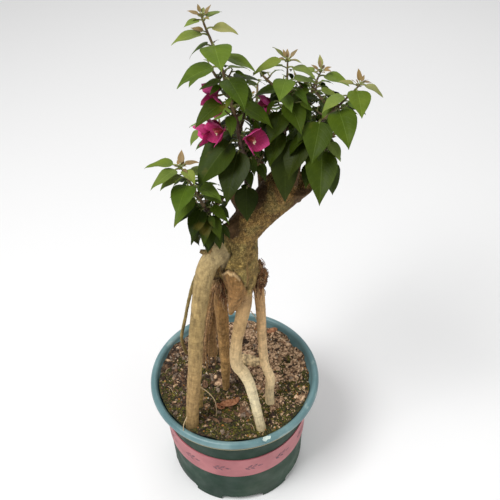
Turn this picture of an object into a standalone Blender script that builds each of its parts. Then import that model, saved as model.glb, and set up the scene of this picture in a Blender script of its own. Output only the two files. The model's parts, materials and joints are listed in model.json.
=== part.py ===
"""Potted bougainvillea bonsai on exposed roots.

Metres, +Z up. The origin is the centre of the pot's flat underside, and the
viewer looks along +Y. Routes of limbs and stems are in millimetres.
"""
import math
import random
from collections import namedtuple

import bmesh
import bpy
from mathutils import Matrix, Vector
from mathutils.bvhtree import BVHTree

MM = 0.001
GAP = 0.0003
NUDGE = 0.00001
NUDGE_TRIES = 4

# Pot
RIM_RADIUS = 0.095
POT_HEIGHT = 0.142
WALL_TOP_RADIUS = 0.0822
WALL_BASE_RADIUS = 0.0786
WALL_THICKNESS = 0.0024
FLOOR_TOP = 0.011
RIM_DEPTH = 0.0135
RIM_ROLL_HEIGHT = 0.0055
RIM_LIP_RADIUS = 0.0882
RIM_INNER_RADIUS = 0.0868
RIM_BULGE = 0.001
RIM_BULGE_HEIGHT = 0.0035
RIM_UNDERCUT = 0.0006
BASE_EDGE = 0.0008
FOOT_COUNT = 6
FOOT_ANGLE = math.radians(24)
FIRST_FOOT_ANGLE = math.radians(-56)
NOTCH_HEIGHT = 0.008
NOTCH_INNER_RADIUS = 0.062
BAND_BOTTOM = 0.0582
BAND_TOP = 0.0925
BAND_THICKNESS = 0.0007
TURN_STEPS = 40
RIM_STEPS = 6

# Soil: tilted a little, in low humps that fade out where the roots stand
SOIL_TOP = 0.136
SOIL_SLOPE = (-0.014, -0.018)
SOIL_HUMP = 0.003
SOIL_WAVES = [(31, 20, 0.4), (27, 95, 2.1), (38, 150, 4.0)]
SOIL_RINGS = 7
SOIL_EDGE_GAP = 0.00045
SOIL_SIDE_GAP = 0.00036
FOOT_ROOM = 0.009
FOOT_FADE = 0.009

# Trunk, cut off nearly level where the shoots stand
CURVE_STEPS = 2
TRUNK_ROUTE = [(9, -22, 292), (10, -22, 308), (10, -22, 327), (11, -22, 349), (13, -21, 368),
               (23, -20, 384), (37, -18, 400), (48, -16, 412), (62, -14, 426), (76, -12, 440)]
TRUNK_RADII = [9.5, 15.5, 18, 17, 15.8, 15.4, 16, 17.5, 18.5, 18.5]
CHOP_POINT = Vector((0.050, -0.015, 0.4225))
CHOP_NORMAL = Vector((0.28, -0.05, 0.96))
CALLUS_ROUTE = [(10, -34, 345), (9, -37, 325), (5, -35, 300), (0, -31, 274)]
CALLUS_RADII = [9, 9.5, 7, 2.2]
FLANK_ROUTE = [(4, -20, 336), (-6, -19, 323), (-15, -16, 310)]
FLANK_RADII = [9, 7.5, 4]
OLD_STUB_ROUTE = [(-8, -26, 350), (-17, -29, 354), (-24, -31, 357)]
OLD_STUB_RADII = [4, 3, 2]
FIBRE_LUMPS = [(26, -17, 323, 6.5), (30, -15, 311, 7), (29, -12, 299, 6.5), (24, -8, 308, 6)]

# Roots: name, route from inside the trunk to below the soil's top, radii, share fused to the trunk
ROOTS = [
    ("root_left_front",
     [(2, -20, 346), (-8, -27, 350), (-17, -34, 344), (-23, -41, 328), (-28, -48, 300),
      (-33, -55, 265), (-36, -59, 230), (-40, -62, 195), (-43.5, -63, 160), (-46, -64, 130)],
     [11, 10.5, 9.2, 8.4, 7.6, 7.4, 7.2, 7.0, 6.8, 7.4], 0.2),
    ("root_right_front",
     [(14, -26, 306), (14, -31, 286), (9, -36, 263), (5, -41, 242), (4, -47, 219),
      (11, -50, 206), (17, -55, 193), (22, -62, 170), (27, -69, 144), (29, -72, 130)],
     [8, 7, 6.2, 6, 6.4, 6.4, 5.6, 5.2, 5.2, 5.6], 0.16),
    ("root_right_back",
     [(16, -17, 322), (25, -11, 306), (28, -10, 288), (30, -16, 257), (31, -23, 225),
      (33, -29, 195), (39, -33, 174), (38, -35, 154), (39, -38, 130)],
     [7, 6, 5.6, 5, 4.8, 4.8, 5.2, 5, 5.2], 0.27),
    ("root_centre",
     [(-2, -18, 304), (-9, -17, 283), (-9, -16, 248), (-9, -16, 210), (-9, -17, 170), (-10, -18, 130)],
     [8, 7, 6.6, 6, 5, 3.6], 0.19),
    ("root_back_broad",
     [(4, -10, 302), (-4, 0, 284), (-13, 11, 252), (-20, 20, 212), (-26, 28, 170), (-26, 35, 130)],
     [8, 7, 6.4, 6.2, 6.4, 7], 0.2),
    ("root_back_thin",
     [(-2, -14, 312), (-16, -8, 296), (-24, 0, 262), (-32, 8, 217), (-38, 21, 174), (-41, 37, 130)],
     [5, 4.6, 4.2, 4, 3.8, 4.2], 0.17),
    ("root_far_left",
     [(-2, -14, 338), (-18, 0, 316), (-33, 10, 288), (-44, 17, 248), (-52, 23, 208),
      (-59, 28, 173), (-58, 31, 150), (-55, 34, 130)],
     [3.2, 2.6, 2.3, 2.1, 2, 2, 2, 2.2], 0.13),
]

# Small root beside the left front one, on its own in the soil's moss
SIDE_ROOT = ("root_left_small", [(-33, -52, 186), (-34, -47, 168), (-36, -43, 150), (-37, -42, 130)],
             [2, 2.2, 2.4, 2.6], 0.0)

# Boughs: name, route from inside the trunk to the tip, radii, share fused to the trunk
BOUGHS = [
    ("bough_tall", [(27, -20, 396), (22, -22, 408), (20, -23, 419)], [4.4, 3.6, 3.1], 0.8),
    ("bough_centre", [(45, -18, 408), (46, -18, 433), (49, -20, 463)], [4.4, 3.6, 2.6], 0.42),
    ("bough_inner", [(52, -7, 406), (54, -6, 430), (59, -8, 454)], [4.4, 3.6, 2.6], 0.42),
    ("bough_outer", [(55, -23, 402), (59, -25, 432), (63, -25, 460)], [4.4, 3.6, 2.6], 0.42),
    ("bough_right", [(62, -15, 400), (67, -18, 418), (69, -22, 433)], [3.8, 3, 2.3], 0.52),
    ("bough_left", [(14, -22, 386), (3, -28, 383), (-7, -34, 382)], [5.4, 4.6, 3.4], 0.52),
    ("bough_back_left", [(16, -16, 388), (8, -2, 394), (1, 12, 403), (-1, 20, 413)],
     [5.4, 4.4, 3.6, 3], 0.4),
    ("bough_back", [(34, -12, 404), (33, 4, 410), (30, 17, 422), (27, 24, 436)],
     [5.4, 4.4, 3.6, 3], 0.4),
    ("bough_back_right", [(50, -8, 404), (57, 6, 412), (66, 16, 424), (73, 22, 436)],
     [5.4, 4.4, 3.6, 3], 0.42),
]

# Leaves: ovate, folded a little along the midrib, on stalks that rise and then let the blade hang
LEAF_RATIO = 0.66
YOUNG_RATIO = 0.42
YOUNG_LENGTH = 8
GROWN_LENGTH = 24
LEAF_STATIONS = [(0.04, 0.66), (0.30, 1.02), (0.66, 0.62)]
SMALL_LEAF_STATIONS = [(0.10, 0.85), (0.50, 0.90)]
SMALL_LEAF_LENGTH = 36
TINY_LEAF_STATIONS = [(0.36, 0.95)]
TINY_LEAF_LENGTH = 16.5
LEAF_THICKNESS = 0.022
LEAF_FOLD = math.radians(16)
LEAF_CURL = 26
LEAF_ROLL = 10
FOOT_DEPTH = 0.5
STALK_BASE = 2
STALK_SHARE = 0.16
STALK_RISE = 22
STALK_RADIUS = 0.7
TOUCH_MARGIN = 0.7
STEM_SIDES = 4
STRAIGHT_START = 4

# Seeded twigs, and seeded leaves that fill a shoot where no leaf is placed by name
TWIG_LENGTH = 26
TWIG_LENGTHS = (0.85, 1.15)
TWIG_RISE = 28
TWIG_RISE_SPREAD = 8
TWIG_SPREAD = 20
TWIG_RADII = [1.5, 1.2, 0.9]
TWIG_ROOM = 2.2
TWIG_LEAVES = [(0.5, -75), (0.85, 65), (1.0, -15)]
FIRST_TWIG = 0.16
LAST_TWIG = 0.62
TWIG_TURN = 12
TWIG_LIFT = 12
TWIG_LEAF_SPREAD = 15
FILL_STEP = 11
FILL_SPREAD = 12
FILL_DROOP_SPREAD = 8
FILL_SHRINK = 1.4
FIRST_FILL = 0.1
DROOP_LIMIT = 74
GOLDEN_ANGLE = 137.5
FILL_OLD_LENGTH = 40
FILL_YOUNG_LENGTH = 13
FILL_LENGTHS = (0.85, 1.12)
BACK_HEADING = 90
BACK_SPREAD = 78
BACK_DROOP = 26

# Blossom: three papery bracts in a cup at the end of a stalk
BRACT_RATIO = 0.98
BRACT_SPREAD = 34
BRACT_STATIONS = [(0.16, 0.54), (0.60, 0.98)]
BLOSSOM_KNOB = 1.6
BLOSSOM_STALK = 0.8
BRACT_DEPTH = 0.4
BRACT_WAIST = 2.2

Leaf = namedtuple("Leaf", "share heading length ratio hang", defaults=[None, 0])
Blossom = namedtuple("Blossom", "share heading rise stalk size")
Shoot = namedtuple("Shoot", "name route radii droop leaves blossoms twigs all_round")

SHOOTS = [
    Shoot("tall", [(19, -28, 450), (15, -31, 468), (13, -33, 490), (9, -35, 508), (5, -36, 531),
                   (-2, -36, 555), (-7, -36, 570), (-9, -36, 578)], (2.9, 0.9), (62, 4),
          [Leaf(0.03, 268, 30), Leaf(0.28, 250, 43, 0.58), Leaf(0.33, 215, 46), Leaf(0.56, 208, 29),
           Leaf(0.54, 340, 31), Leaf(0.69, 295, 30), Leaf(0.74, 202, 31), Leaf(0.66, 176, 18),
           Leaf(0.67, 20, 28, 0.5), Leaf(0.79, 337, 25, 0.5), Leaf(0.72, 30, 20, 0.4),
           Leaf(0.855, 281, 28, 0.78), Leaf(0.90, 199, 23), Leaf(0.93, 343, 19), Leaf(0.97, 220, 13),
           Leaf(0.965, 50, 16), Leaf(0.99, 80, 6, 0.5, -20), Leaf(0.985, 150, 9, 0.45, -10),
           Leaf(0.98, 300, 8, 0.5, -20)],
          [Blossom(0.43, 212, 4, 11, 18), Blossom(0.45, 188, -16, 20, 14), Blossom(0.37, 318, 8, 7, 18),
           Blossom(0.60, 149, -14, 9, 15), Blossom(0.54, 200, 12, 5, 13), Blossom(0.55, 29, 0, 17, 15)],
          3, False),
    Shoot("centre", [(50, -21, 480), (51, -22, 501), (51, -22, 519), (51, -22, 536)],
          (2.4, 0.9), (55, 6),
          [Leaf(0.02, 272, 52, 0.44, 20), Leaf(0.39, 240, 27), Leaf(0.52, 289, 28),
           Leaf(0.79, 255, 23, 0.7), Leaf(0.64, 170, 24), Leaf(0.98, 197, 24, 0.42, 15),
           Leaf(0.90, 162, 11), Leaf(0.99, 330, 9), Leaf(0.91, 324, 20), Leaf(0.75, 5, 21),
           Leaf(1.0, 150, 11, 0.42, -38), Leaf(1.0, 35, 8, 0.42, -38), Leaf(0.51, 165, 20),
           Leaf(0.06, 205, 27, 0.6, 12), Leaf(0.16, 238, 30, 0.6, 5), Leaf(0.24, 188, 24),
           Leaf(0.0, 232, 20, 0.6, 14)],
          [Blossom(0.47, 185, 4, 10, 14)], 3, False),
    Shoot("inner", [(64, -4, 469), (67, -2, 481), (71, 0, 493), (76, 2, 506), (79, 2, 514)],
          (2.4, 0.8), (58, 4),
          [Leaf(1.0, 95, 10, 0.42, -50), Leaf(0.93, 150, 17), Leaf(0.91, 330, 22), Leaf(0.62, 160, 16),
           Leaf(0.66, 195, 22), Leaf(0.62, 50, 18), Leaf(0.45, 345, 20), Leaf(0.98, 240, 9, 0.45, -25),
           Leaf(0.05, 225, 34, 0.6, 8), Leaf(0.12, 275, 30, 0.6, 6)],
          [], 3, False),
    Shoot("outer", [(70, -28, 478), (78, -30, 490), (85, -31, 497), (94, -32, 508),
                    (104, -32, 520)], (2.4, 0.9), (55, 18),
          [Leaf(0.14, 238, 33), Leaf(0.64, 283, 33), Leaf(0.93, 273, 26), Leaf(0.44, 254, 34),
           Leaf(0.83, 210, 21), Leaf(0.99, 322, 17), Leaf(1.0, 20, 8), Leaf(1.0, 95, 10, 0.42, -60),
           Leaf(0.75, 330, 17), Leaf(0.97, 160, 12, 0.45, -20), Leaf(0.0, 262, 34, 0.6, 12)],
          [], 2, False),
    Shoot("right", [(75, -26, 450), (80, -28, 463), (84, -28, 472)], (2.1, 0.9), (55, 35),
          [Leaf(0.72, 264, 44, 0.56), Leaf(0.90, 304, 18), Leaf(0.34, 247, 21), Leaf(0.15, 200, 24, 0.6, 10)],
          [], 1, False),
    Shoot("left", [(-12, -38, 399), (-16, -42, 416), (-22, -44, 433), (-27, -46, 448),
                   (-32, -46, 460)], (3, 0.9), (62, 8),
          [Leaf(1.0, 178, 24), Leaf(1.0, 85, 11, 0.5, -48), Leaf(0.98, 228, 28, 0.42),
           Leaf(0.91, 222, 21), Leaf(0.80, 254, 30), Leaf(1.0, 20, 13), Leaf(0.97, 300, 18),
           Leaf(0.75, 335, 23), Leaf(0.62, 350, 19), Leaf(0.63, 235, 30, 0.45), Leaf(0.44, 244, 26),
           Leaf(0.36, 262, 27, 0.42), Leaf(0.22, 262, 22), Leaf(0.45, 335, 22), Leaf(0.11, 320, 15),
           Leaf(0.56, 222, 27), Leaf(0.30, 228, 26, 0.45), Leaf(0.86, 40, 20), Leaf(0.16, 12, 16),
           Leaf(0.07, 246, 18, 0.6), Leaf(0.34, 298, 22, 0.55), Leaf(0.19, 292, 22, 0.5)],
          [], 3, False),
    Shoot("back_left", [(-2, 27, 422), (-1, 31, 431), (4, 34, 441)], (2.6, 1), (45, 10),
          [], [], 4, False),
    Shoot("back", [(26, 28, 450), (25, 31, 464), (24, 33, 476)], (2.6, 1), (60, 25),
          [], [], 5, True),
    Shoot("back_right", [(79, 26, 446), (84, 29, 456), (88, 31, 464)], (2.6, 1), (60, 25),
          [], [], 5, True),
]

BARK = ("bark", (0.30, 0.21, 0.12), 0.85)
ROOT_BARK = ("root_bark", (0.52, 0.41, 0.26), 0.8)
GREEN_WOOD = ("shoot_bark", (0.16, 0.07, 0.05), 0.7)
LEAF_GREEN = ("leaf", (0.10, 0.22, 0.04), 0.5)
POT_PLASTIC = ("pot_plastic", (0.10, 0.24, 0.20), 0.45)
BAND_PINK = ("band", (0.72, 0.28, 0.32), 0.5)
SOIL_BROWN = ("soil", (0.16, 0.11, 0.07), 0.95)


def clear_scene():
    for obj in list(bpy.data.objects):
        bpy.data.objects.remove(obj, do_unlink=True)


def make_collection(name):
    collection = bpy.data.collections.new(name)
    bpy.context.scene.collection.children.link(collection)
    return collection


def material(spec):
    name, colour, roughness = spec
    existing = bpy.data.materials.get(name)
    if existing:
        return existing
    made = bpy.data.materials.new(name)
    made.use_nodes = True
    shader = made.node_tree.nodes["Principled BSDF"]
    shader.inputs["Base Color"].default_value = (*colour, 1)
    shader.inputs["Roughness"].default_value = roughness
    shader.inputs["Metallic"].default_value = 0
    return made


def new_object(name, mesh, collection, spec=None):
    obj = bpy.data.objects.new(name, mesh)
    collection.objects.link(obj)
    if spec:
        mesh.materials.clear()
        mesh.materials.append(material(spec))
    return obj


def move_to(obj, collection):
    for owner in list(obj.users_collection):
        owner.objects.unlink(obj)
    collection.objects.link(obj)


def smooth_route(points, steps):
    """Catmull-Rom curve through the points, with so many steps in each stretch."""
    points = [Vector(p) for p in points]
    ends = [2 * points[0] - points[1]] + points + [2 * points[-1] - points[-2]]
    curve = []
    for a, b, c, d in zip(ends, ends[1:], ends[2:], ends[3:]):
        for step in range(steps):
            t = step / steps
            curve.append(0.5 * (2 * b + (c - a) * t + (2 * a - 5 * b + 4 * c - d) * t * t
                                + (3 * b - a - 3 * c + d) * t ** 3))
    curve.append(points[-1])
    return curve


def smooth_radii(radii, steps):
    """Radii along the same curve, changing evenly in each stretch."""
    values = []
    for first, second in zip(radii, radii[1:]):
        values += [first + (second - first) * step / steps for step in range(steps)]
    return values + [radii[-1]]


def tube(name, points, radii, collection, sides=8):
    """Closed tapering tube through points in millimetres, as a mesh."""
    curve = bpy.data.curves.new(name, "CURVE")
    curve.dimensions = "3D"
    curve.bevel_depth = MM
    curve.bevel_resolution = (sides - 4) // 2
    curve.use_fill_caps = True
    spline = curve.splines.new("POLY")
    spline.points.add(len(points) - 1)
    for knot, point, radius in zip(spline.points, points, radii):
        knot.co = (*(point * MM), 1)
        knot.radius = radius
    pattern = bpy.data.objects.new(name + "_curve", curve)
    collection.objects.link(pattern)
    bpy.context.view_layer.update()
    evaluated = pattern.evaluated_get(bpy.context.evaluated_depsgraph_get())
    mesh = bpy.data.meshes.new_from_object(evaluated)
    bpy.data.objects.remove(pattern, do_unlink=True)
    shell = bmesh.new()
    shell.from_mesh(mesh)
    bmesh.ops.remove_doubles(shell, verts=shell.verts, dist=1e-6)
    bmesh.ops.recalc_face_normals(shell, faces=shell.faces)
    shell.to_mesh(mesh)
    shell.free()
    return new_object(name, mesh, collection)


def cut_by_plane(obj, point, normal):
    """Cuts away what lies beyond the plane, and closes the cut flat."""
    shell = bmesh.new()
    shell.from_mesh(obj.data)
    geometry = shell.verts[:] + shell.edges[:] + shell.faces[:]
    cut = bmesh.ops.bisect_plane(shell, geom=geometry, plane_co=point, plane_no=normal, clear_outer=True)
    rim = [item for item in cut["geom_cut"] if isinstance(item, bmesh.types.BMEdge)]
    bmesh.ops.triangle_fill(shell, edges=rim, use_dissolve=False)
    bmesh.ops.recalc_face_normals(shell, faces=shell.faces)
    shell.to_mesh(obj.data)
    shell.free()


def one_body(mesh):
    """Triangles of the largest body: loose scraps are dropped, and so are sealed hollows."""
    shell = bmesh.new()
    shell.from_mesh(mesh)
    bmesh.ops.triangulate(shell, faces=shell.faces)
    unseen = set(shell.verts)
    bodies = []
    while unseen:
        body = set()
        front = [unseen.pop()]
        while front:
            vert = front.pop()
            body.add(vert)
            for edge in vert.link_edges:
                other = edge.other_vert(vert)
                if other in unseen:
                    unseen.remove(other)
                    front.append(other)
        bodies.append(body)
    largest = max(bodies, key=len)
    bmesh.ops.delete(shell, geom=[vert for vert in shell.verts if vert not in largest], context="VERTS")
    closed = all(len(edge.link_faces) == 2 for edge in shell.edges)
    shell.to_mesh(mesh)
    shell.free()
    return closed


def join_by_union(base, parts):
    """Fuses every object of the collection into the base, and removes them.

    Where edges meet so exactly that the result isn't closed, the parts are moved
    apart by hundredths of a millimetre and joined again.
    """
    union = base.modifiers.new("Union", "BOOLEAN")
    union.operation = "UNION"
    union.operand_type = "COLLECTION"
    union.collection = parts
    for attempt, solver in enumerate(["EXACT"] * NUDGE_TRIES + ["MANIFOLD"] * NUDGE_TRIES):
        union.solver = solver
        for index, obj in enumerate(parts.objects):
            turn = math.radians(GOLDEN_ANGLE) * index
            obj.location = Vector((math.cos(turn), math.sin(turn), 0)) * NUDGE * (attempt % NUDGE_TRIES)
        bpy.context.view_layer.update()
        evaluated = base.evaluated_get(bpy.context.evaluated_depsgraph_get())
        joined = bpy.data.meshes.new_from_object(evaluated)
        if one_body(joined):
            break
    base.modifiers.clear()
    base.data = joined
    for obj in list(parts.objects):
        bpy.data.objects.remove(obj, do_unlink=True)
    bpy.data.collections.remove(parts)


# Pot

def wall_radius(z):
    return WALL_BASE_RADIUS + (WALL_TOP_RADIUS - WALL_BASE_RADIUS) * z / (POT_HEIGHT - RIM_DEPTH)


def turned(name, profile, collection, spec, ring=False):
    """Solid turned from a profile of (radius, z) that runs down its outer side."""
    mesh = bpy.data.meshes.new(name)
    edges = [(i, i + 1) for i in range(len(profile) - 1)]
    if ring:
        edges.append((len(profile) - 1, 0))
    mesh.from_pydata([(radius, 0, z) for radius, z in profile], edges, [])
    obj = new_object(name, mesh, collection, spec)
    screw = obj.modifiers.new("Turn", "SCREW")
    screw.steps = TURN_STEPS
    screw.render_steps = TURN_STEPS
    screw.use_merge_vertices = True
    screw.merge_threshold = 0.00005
    return obj


def pot_profile():
    inner_base = WALL_BASE_RADIUS - WALL_THICKNESS
    rim_bottom = POT_HEIGHT - RIM_DEPTH
    middle = (RIM_RADIUS + RIM_INNER_RADIUS) / 2
    half = (RIM_RADIUS - RIM_INNER_RADIUS) / 2
    profile = [(0, FLOOR_TOP), (inner_base, FLOOR_TOP), (WALL_TOP_RADIUS - WALL_THICKNESS, rim_bottom)]
    for step in range(RIM_STEPS + 1):
        angle = math.pi * (1 - step / RIM_STEPS)
        height = POT_HEIGHT - RIM_ROLL_HEIGHT * (1 - math.sin(angle))
        profile.append((middle + half * math.cos(angle), height))
    skirt = (RIM_RADIUS + RIM_LIP_RADIUS) / 2 + RIM_BULGE
    profile += [(skirt, rim_bottom + RIM_BULGE_HEIGHT), (RIM_LIP_RADIUS, rim_bottom),
                (WALL_TOP_RADIUS, rim_bottom - RIM_UNDERCUT), (WALL_BASE_RADIUS, BASE_EDGE),
                (WALL_BASE_RADIUS - BASE_EDGE, 0), (0, 0)]
    return profile


def make_pot(collection):
    """Turned pot with a rolled rim, and notches that leave feet round its lower edge."""
    pot = turned("pot", pot_profile(), collection, POT_PLASTIC)
    cutters = make_collection("notches")
    pitch = math.tau / FOOT_COUNT
    depth = RIM_RADIUS - NOTCH_INNER_RADIUS
    width = 2 * WALL_BASE_RADIUS * math.sin((pitch - FOOT_ANGLE) / 2)
    for index in range(FOOT_COUNT):
        bpy.ops.mesh.primitive_cube_add(size=1)
        notch = bpy.context.object
        notch.name = f"notch_{index}"
        notch.data.transform(Matrix.Diagonal((depth, width, NOTCH_HEIGHT * 2, 1)))
        notch.data.transform(Matrix.Translation((NOTCH_INNER_RADIUS + depth / 2, 0, 0)))
        notch.rotation_euler = (0, 0, FIRST_FOOT_ANGLE + (index + 0.5) * pitch)
        notch.hide_render = True
        notch.display_type = "WIRE"
        move_to(notch, cutters)
    cut = pot.modifiers.new("Notches", "BOOLEAN")
    cut.operation = "DIFFERENCE"
    cut.operand_type = "COLLECTION"
    cut.collection = cutters
    cut.solver = "EXACT"


def make_band(collection):
    inner_bottom = wall_radius(BAND_BOTTOM) + GAP
    inner_top = wall_radius(BAND_TOP) + GAP
    profile = [(inner_bottom, BAND_BOTTOM), (inner_top, BAND_TOP), (inner_top + BAND_THICKNESS, BAND_TOP),
               (inner_bottom + BAND_THICKNESS, BAND_BOTTOM)]
    turned("pot_band", profile, collection, BAND_PINK, ring=True)


def root_feet():
    """Where each root comes down to the soil, and its radius there, in metres."""
    feet = []
    for name, route, radii, share in ROOTS + [SIDE_ROOT]:
        points = smooth_route(route, CURVE_STEPS)
        for first, second, radius in zip(points, points[1:], smooth_radii(radii, CURVE_STEPS)):
            if second.z * MM < SOIL_TOP <= first.z * MM:
                foot = first.lerp(second, (first.z - SOIL_TOP / MM) / (first.z - second.z)) * MM
                feet.append((foot.x, foot.y, radius * MM))
    return feet


def soil_height(x, y, feet):
    """Height of the soil's top: a tilted plane near the roots' feet, and humps between them."""
    swell = 0
    for length, heading, phase in SOIL_WAVES:
        across = x * math.cos(math.radians(heading)) + y * math.sin(math.radians(heading))
        swell += math.sin(math.tau * across / (length * MM) + phase) / len(SOIL_WAVES)
    for foot_x, foot_y, radius in feet:
        clear = (math.hypot(x - foot_x, y - foot_y) - radius - FOOT_ROOM) / FOOT_FADE
        swell *= min(max(clear, 0), 1)
    return SOIL_TOP + SOIL_SLOPE[0] * x + SOIL_SLOPE[1] * y + SOIL_HUMP * swell


def soil_reach(height):
    """Radius of the soil at a height, inside the pot's wall and its flaring rim."""
    shoulder = POT_HEIGHT - RIM_DEPTH
    narrow = WALL_TOP_RADIUS - WALL_THICKNESS
    flare = min((height - shoulder) / (RIM_DEPTH - RIM_ROLL_HEIGHT), 1)
    return narrow + (RIM_INNER_RADIUS - narrow) * flare - SOIL_EDGE_GAP


def make_soil(collection):
    """Filling that follows the inside of the pot and of its rim, with a humped top."""
    feet = root_feet()
    turns = [math.tau * step / TURN_STEPS for step in range(TURN_STEPS)]
    verts = [(0, 0, soil_height(0, 0, feet))]
    for ring in range(1, SOIL_RINGS + 1):
        for turn in turns:
            place = Vector((math.cos(turn), math.sin(turn))) * soil_reach(SOIL_TOP) * ring / SOIL_RINGS
            height = soil_height(*place, feet)
            if ring == SOIL_RINGS:
                place = place.normalized() * soil_reach(height)
            verts.append((*place, height))
    shoulder = (WALL_TOP_RADIUS - WALL_THICKNESS - SOIL_SIDE_GAP, POT_HEIGHT - RIM_DEPTH)
    base = (WALL_BASE_RADIUS - WALL_THICKNESS - GAP, FLOOR_TOP + GAP)
    for radius, height in (shoulder, base):
        verts += [(radius * math.cos(turn), radius * math.sin(turn), height) for turn in turns]
    verts.append((0, 0, FLOOR_TOP + GAP))
    faces = []
    for step in range(TURN_STEPS):
        following = (step + 1) % TURN_STEPS
        faces.append((0, 1 + step, 1 + following))
        faces.append((len(verts) - 1, len(verts) - 2 - step, len(verts) - 2 - following))
        for ring in range(SOIL_RINGS + 1):
            low = 1 + ring * TURN_STEPS
            faces.append((low + step, low + TURN_STEPS + step, low + TURN_STEPS + following))
            faces.append((low + step, low + TURN_STEPS + following, low + following))
    mesh = bpy.data.meshes.new("soil")
    mesh.from_pydata(verts, [], faces)
    shell = bmesh.new()
    shell.from_mesh(mesh)
    bmesh.ops.recalc_face_normals(shell, faces=shell.faces)
    shell.to_mesh(mesh)
    shell.free()
    new_object("soil", mesh, collection, SOIL_BROWN)


# Trunk, roots and boughs

def split_route(points, radii, share):
    """Parts a limb in the middle of a stretch, so that both cut faces are parallel."""
    index = min(int(share * (len(points) - 1)), len(points) - 2)
    first, second = points[index], points[index + 1]
    middle = (first + second) / 2
    radius = (radii[index] + radii[index + 1]) / 2
    half_gap = (second - first).normalized() * (GAP / MM / 2)
    fused = (points[:index + 1] + [middle - half_gap], radii[:index + 1] + [radius])
    free = ([middle + half_gap] + points[index + 1:], [radius] + radii[index + 1:])
    return fused, free


def make_limbs(collection, collars):
    """Roots and boughs as nodes of their own, with their first stretch fused to the trunk."""
    limbs = []
    for name, route, radii, share in ROOTS + [SIDE_ROOT] + BOUGHS:
        is_root = name.startswith("root")
        points = smooth_route(route, CURVE_STEPS)
        widths = smooth_radii(radii, CURVE_STEPS)
        sides = 8 if max(radii) > 3.5 else 6
        if share > 0:
            (collar, collar_widths), (points, widths) = split_route(points, widths, share)
            tube("collar_" + name, collar, collar_widths, collars, sides)
        limb = tube(name, points, widths, collection, sides)
        if is_root:
            cut_by_plane(limb, Vector((0, 0, SOIL_TOP + GAP)), Vector((*SOIL_SLOPE, -1)))
        limb.data.materials.append(material(ROOT_BARK if is_root else GREEN_WOOD))
        limbs.append(limb)
    return limbs


def limb_tube(name, route, radii, collection, sides):
    return tube(name, smooth_route(route, CURVE_STEPS), smooth_radii(radii, CURVE_STEPS), collection, sides)


def make_trunk(collection, collars):
    trunk = limb_tube("trunk", TRUNK_ROUTE, TRUNK_RADII, collection, 10)
    cut_by_plane(trunk, CHOP_POINT, CHOP_NORMAL)
    limb_tube("callus", CALLUS_ROUTE, CALLUS_RADII, collars, 8)
    limb_tube("flank", FLANK_ROUTE, FLANK_RADII, collars, 8)
    limb_tube("old_stub", OLD_STUB_ROUTE, OLD_STUB_RADII, collars, 6)
    for x, y, z, radius in FIBRE_LUMPS:
        bpy.ops.mesh.primitive_ico_sphere_add(subdivisions=1, radius=radius * MM)
        lump = bpy.context.object
        lump.data.transform(Matrix.Translation(Vector((x, y, z)) * MM))
        move_to(lump, collars)
    join_by_union(trunk, collars)
    trunk.data.materials.clear()
    trunk.data.materials.append(material(BARK))
    return trunk


# Foliage

def direction(heading, rise):
    """Unit vector with a compass heading from +X towards +Y and a rise, both in degrees."""
    h, r = math.radians(heading), math.radians(rise)
    return Vector((math.cos(h) * math.cos(r), math.sin(h) * math.cos(r), math.sin(r)))


def point_along(points, share):
    lengths = [(b - a).length for a, b in zip(points, points[1:])]
    left = share * sum(lengths)
    for a, b, length in zip(points, points[1:], lengths):
        if left <= length:
            return a.lerp(b, left / length)
        left -= length
    return points[-1].copy()


def loft(sections, tip):
    """Closed solid through four-cornered sections and a tip, as vertices and faces."""
    verts = [corner for section in sections for corner in section] + [tip]
    faces = [(3, 2, 1, 0)]
    for row in range(len(sections) - 1):
        for corner in range(4):
            following = (corner + 1) % 4
            low = 4 * row
            faces.append((low + corner, low + following, low + 4 + following, low + 4 + corner))
    last = 4 * (len(sections) - 1)
    for corner in range(4):
        faces.append((last + corner, last + (corner + 1) % 4, len(verts) - 1))
    return verts, faces


def section(point, along, up, half_width, half_thickness, fold):
    side = along.cross(up).normalized()
    over = side.cross(along).normalized()
    lift = half_width * math.tan(fold)
    return [point + side * half_width + over * lift, point + over * half_thickness,
            point - side * half_width + over * lift, point - over * half_thickness]


def blade(foot, stalk_end, aim, up, length, ratio, stations, curl, swell=0.0):
    """Stalk and blade as one solid. Swell widens it, for testing what it would touch."""
    along = (stalk_end - foot).normalized()
    stalk = STALK_RADIUS + swell
    sections = [section(foot, along, up, stalk, stalk, 0), section(stalk_end, along, up, stalk, stalk, 0)]
    side = aim.cross(up).normalized()
    step_from = stalk_end
    share_from = 0.0
    half_thickness = length * LEAF_THICKNESS / 2 + swell
    for share, fullness in stations + [(1.0, 0.0)]:
        bend = math.radians(((share + share_from) / 2 - 0.5) * curl)
        along = Matrix.Rotation(-bend, 3, side) @ aim
        over = Matrix.Rotation(-bend, 3, side) @ up
        step_from = step_from + along * length * (share - share_from)
        share_from = share
        if fullness:
            half_width = length * ratio / 2 * fullness + swell
            sections.append(section(step_from, along, over, half_width, half_thickness, LEAF_FOLD))
    return loft(sections, step_from + along * swell)


def bough_tip(shoot_name):
    """Middle of the end that a shoot stands on, and the way that end faces."""
    route = next(route for name, route, radii, share in BOUGHS if name == "bough_" + shoot_name)
    before, tip = smooth_route(route, CURVE_STEPS)[-2:]
    return tip, (tip - before).normalized()


def leaf_ratio(length):
    grown = min(max((length - YOUNG_LENGTH) / (GROWN_LENGTH - YOUNG_LENGTH), 0), 1)
    return YOUNG_RATIO + (LEAF_RATIO - YOUNG_RATIO) * grown


def rod(first, second, radius):
    """Straight stretch of a twig or stalk with a pointed end, for testing what it would touch."""
    along = (second - first).normalized()
    up = Vector((0, 0, 1))
    ends = [section(point, along, up, radius, radius, 0) for point in (first, second)]
    return loft(ends, second + along * radius)


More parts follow.
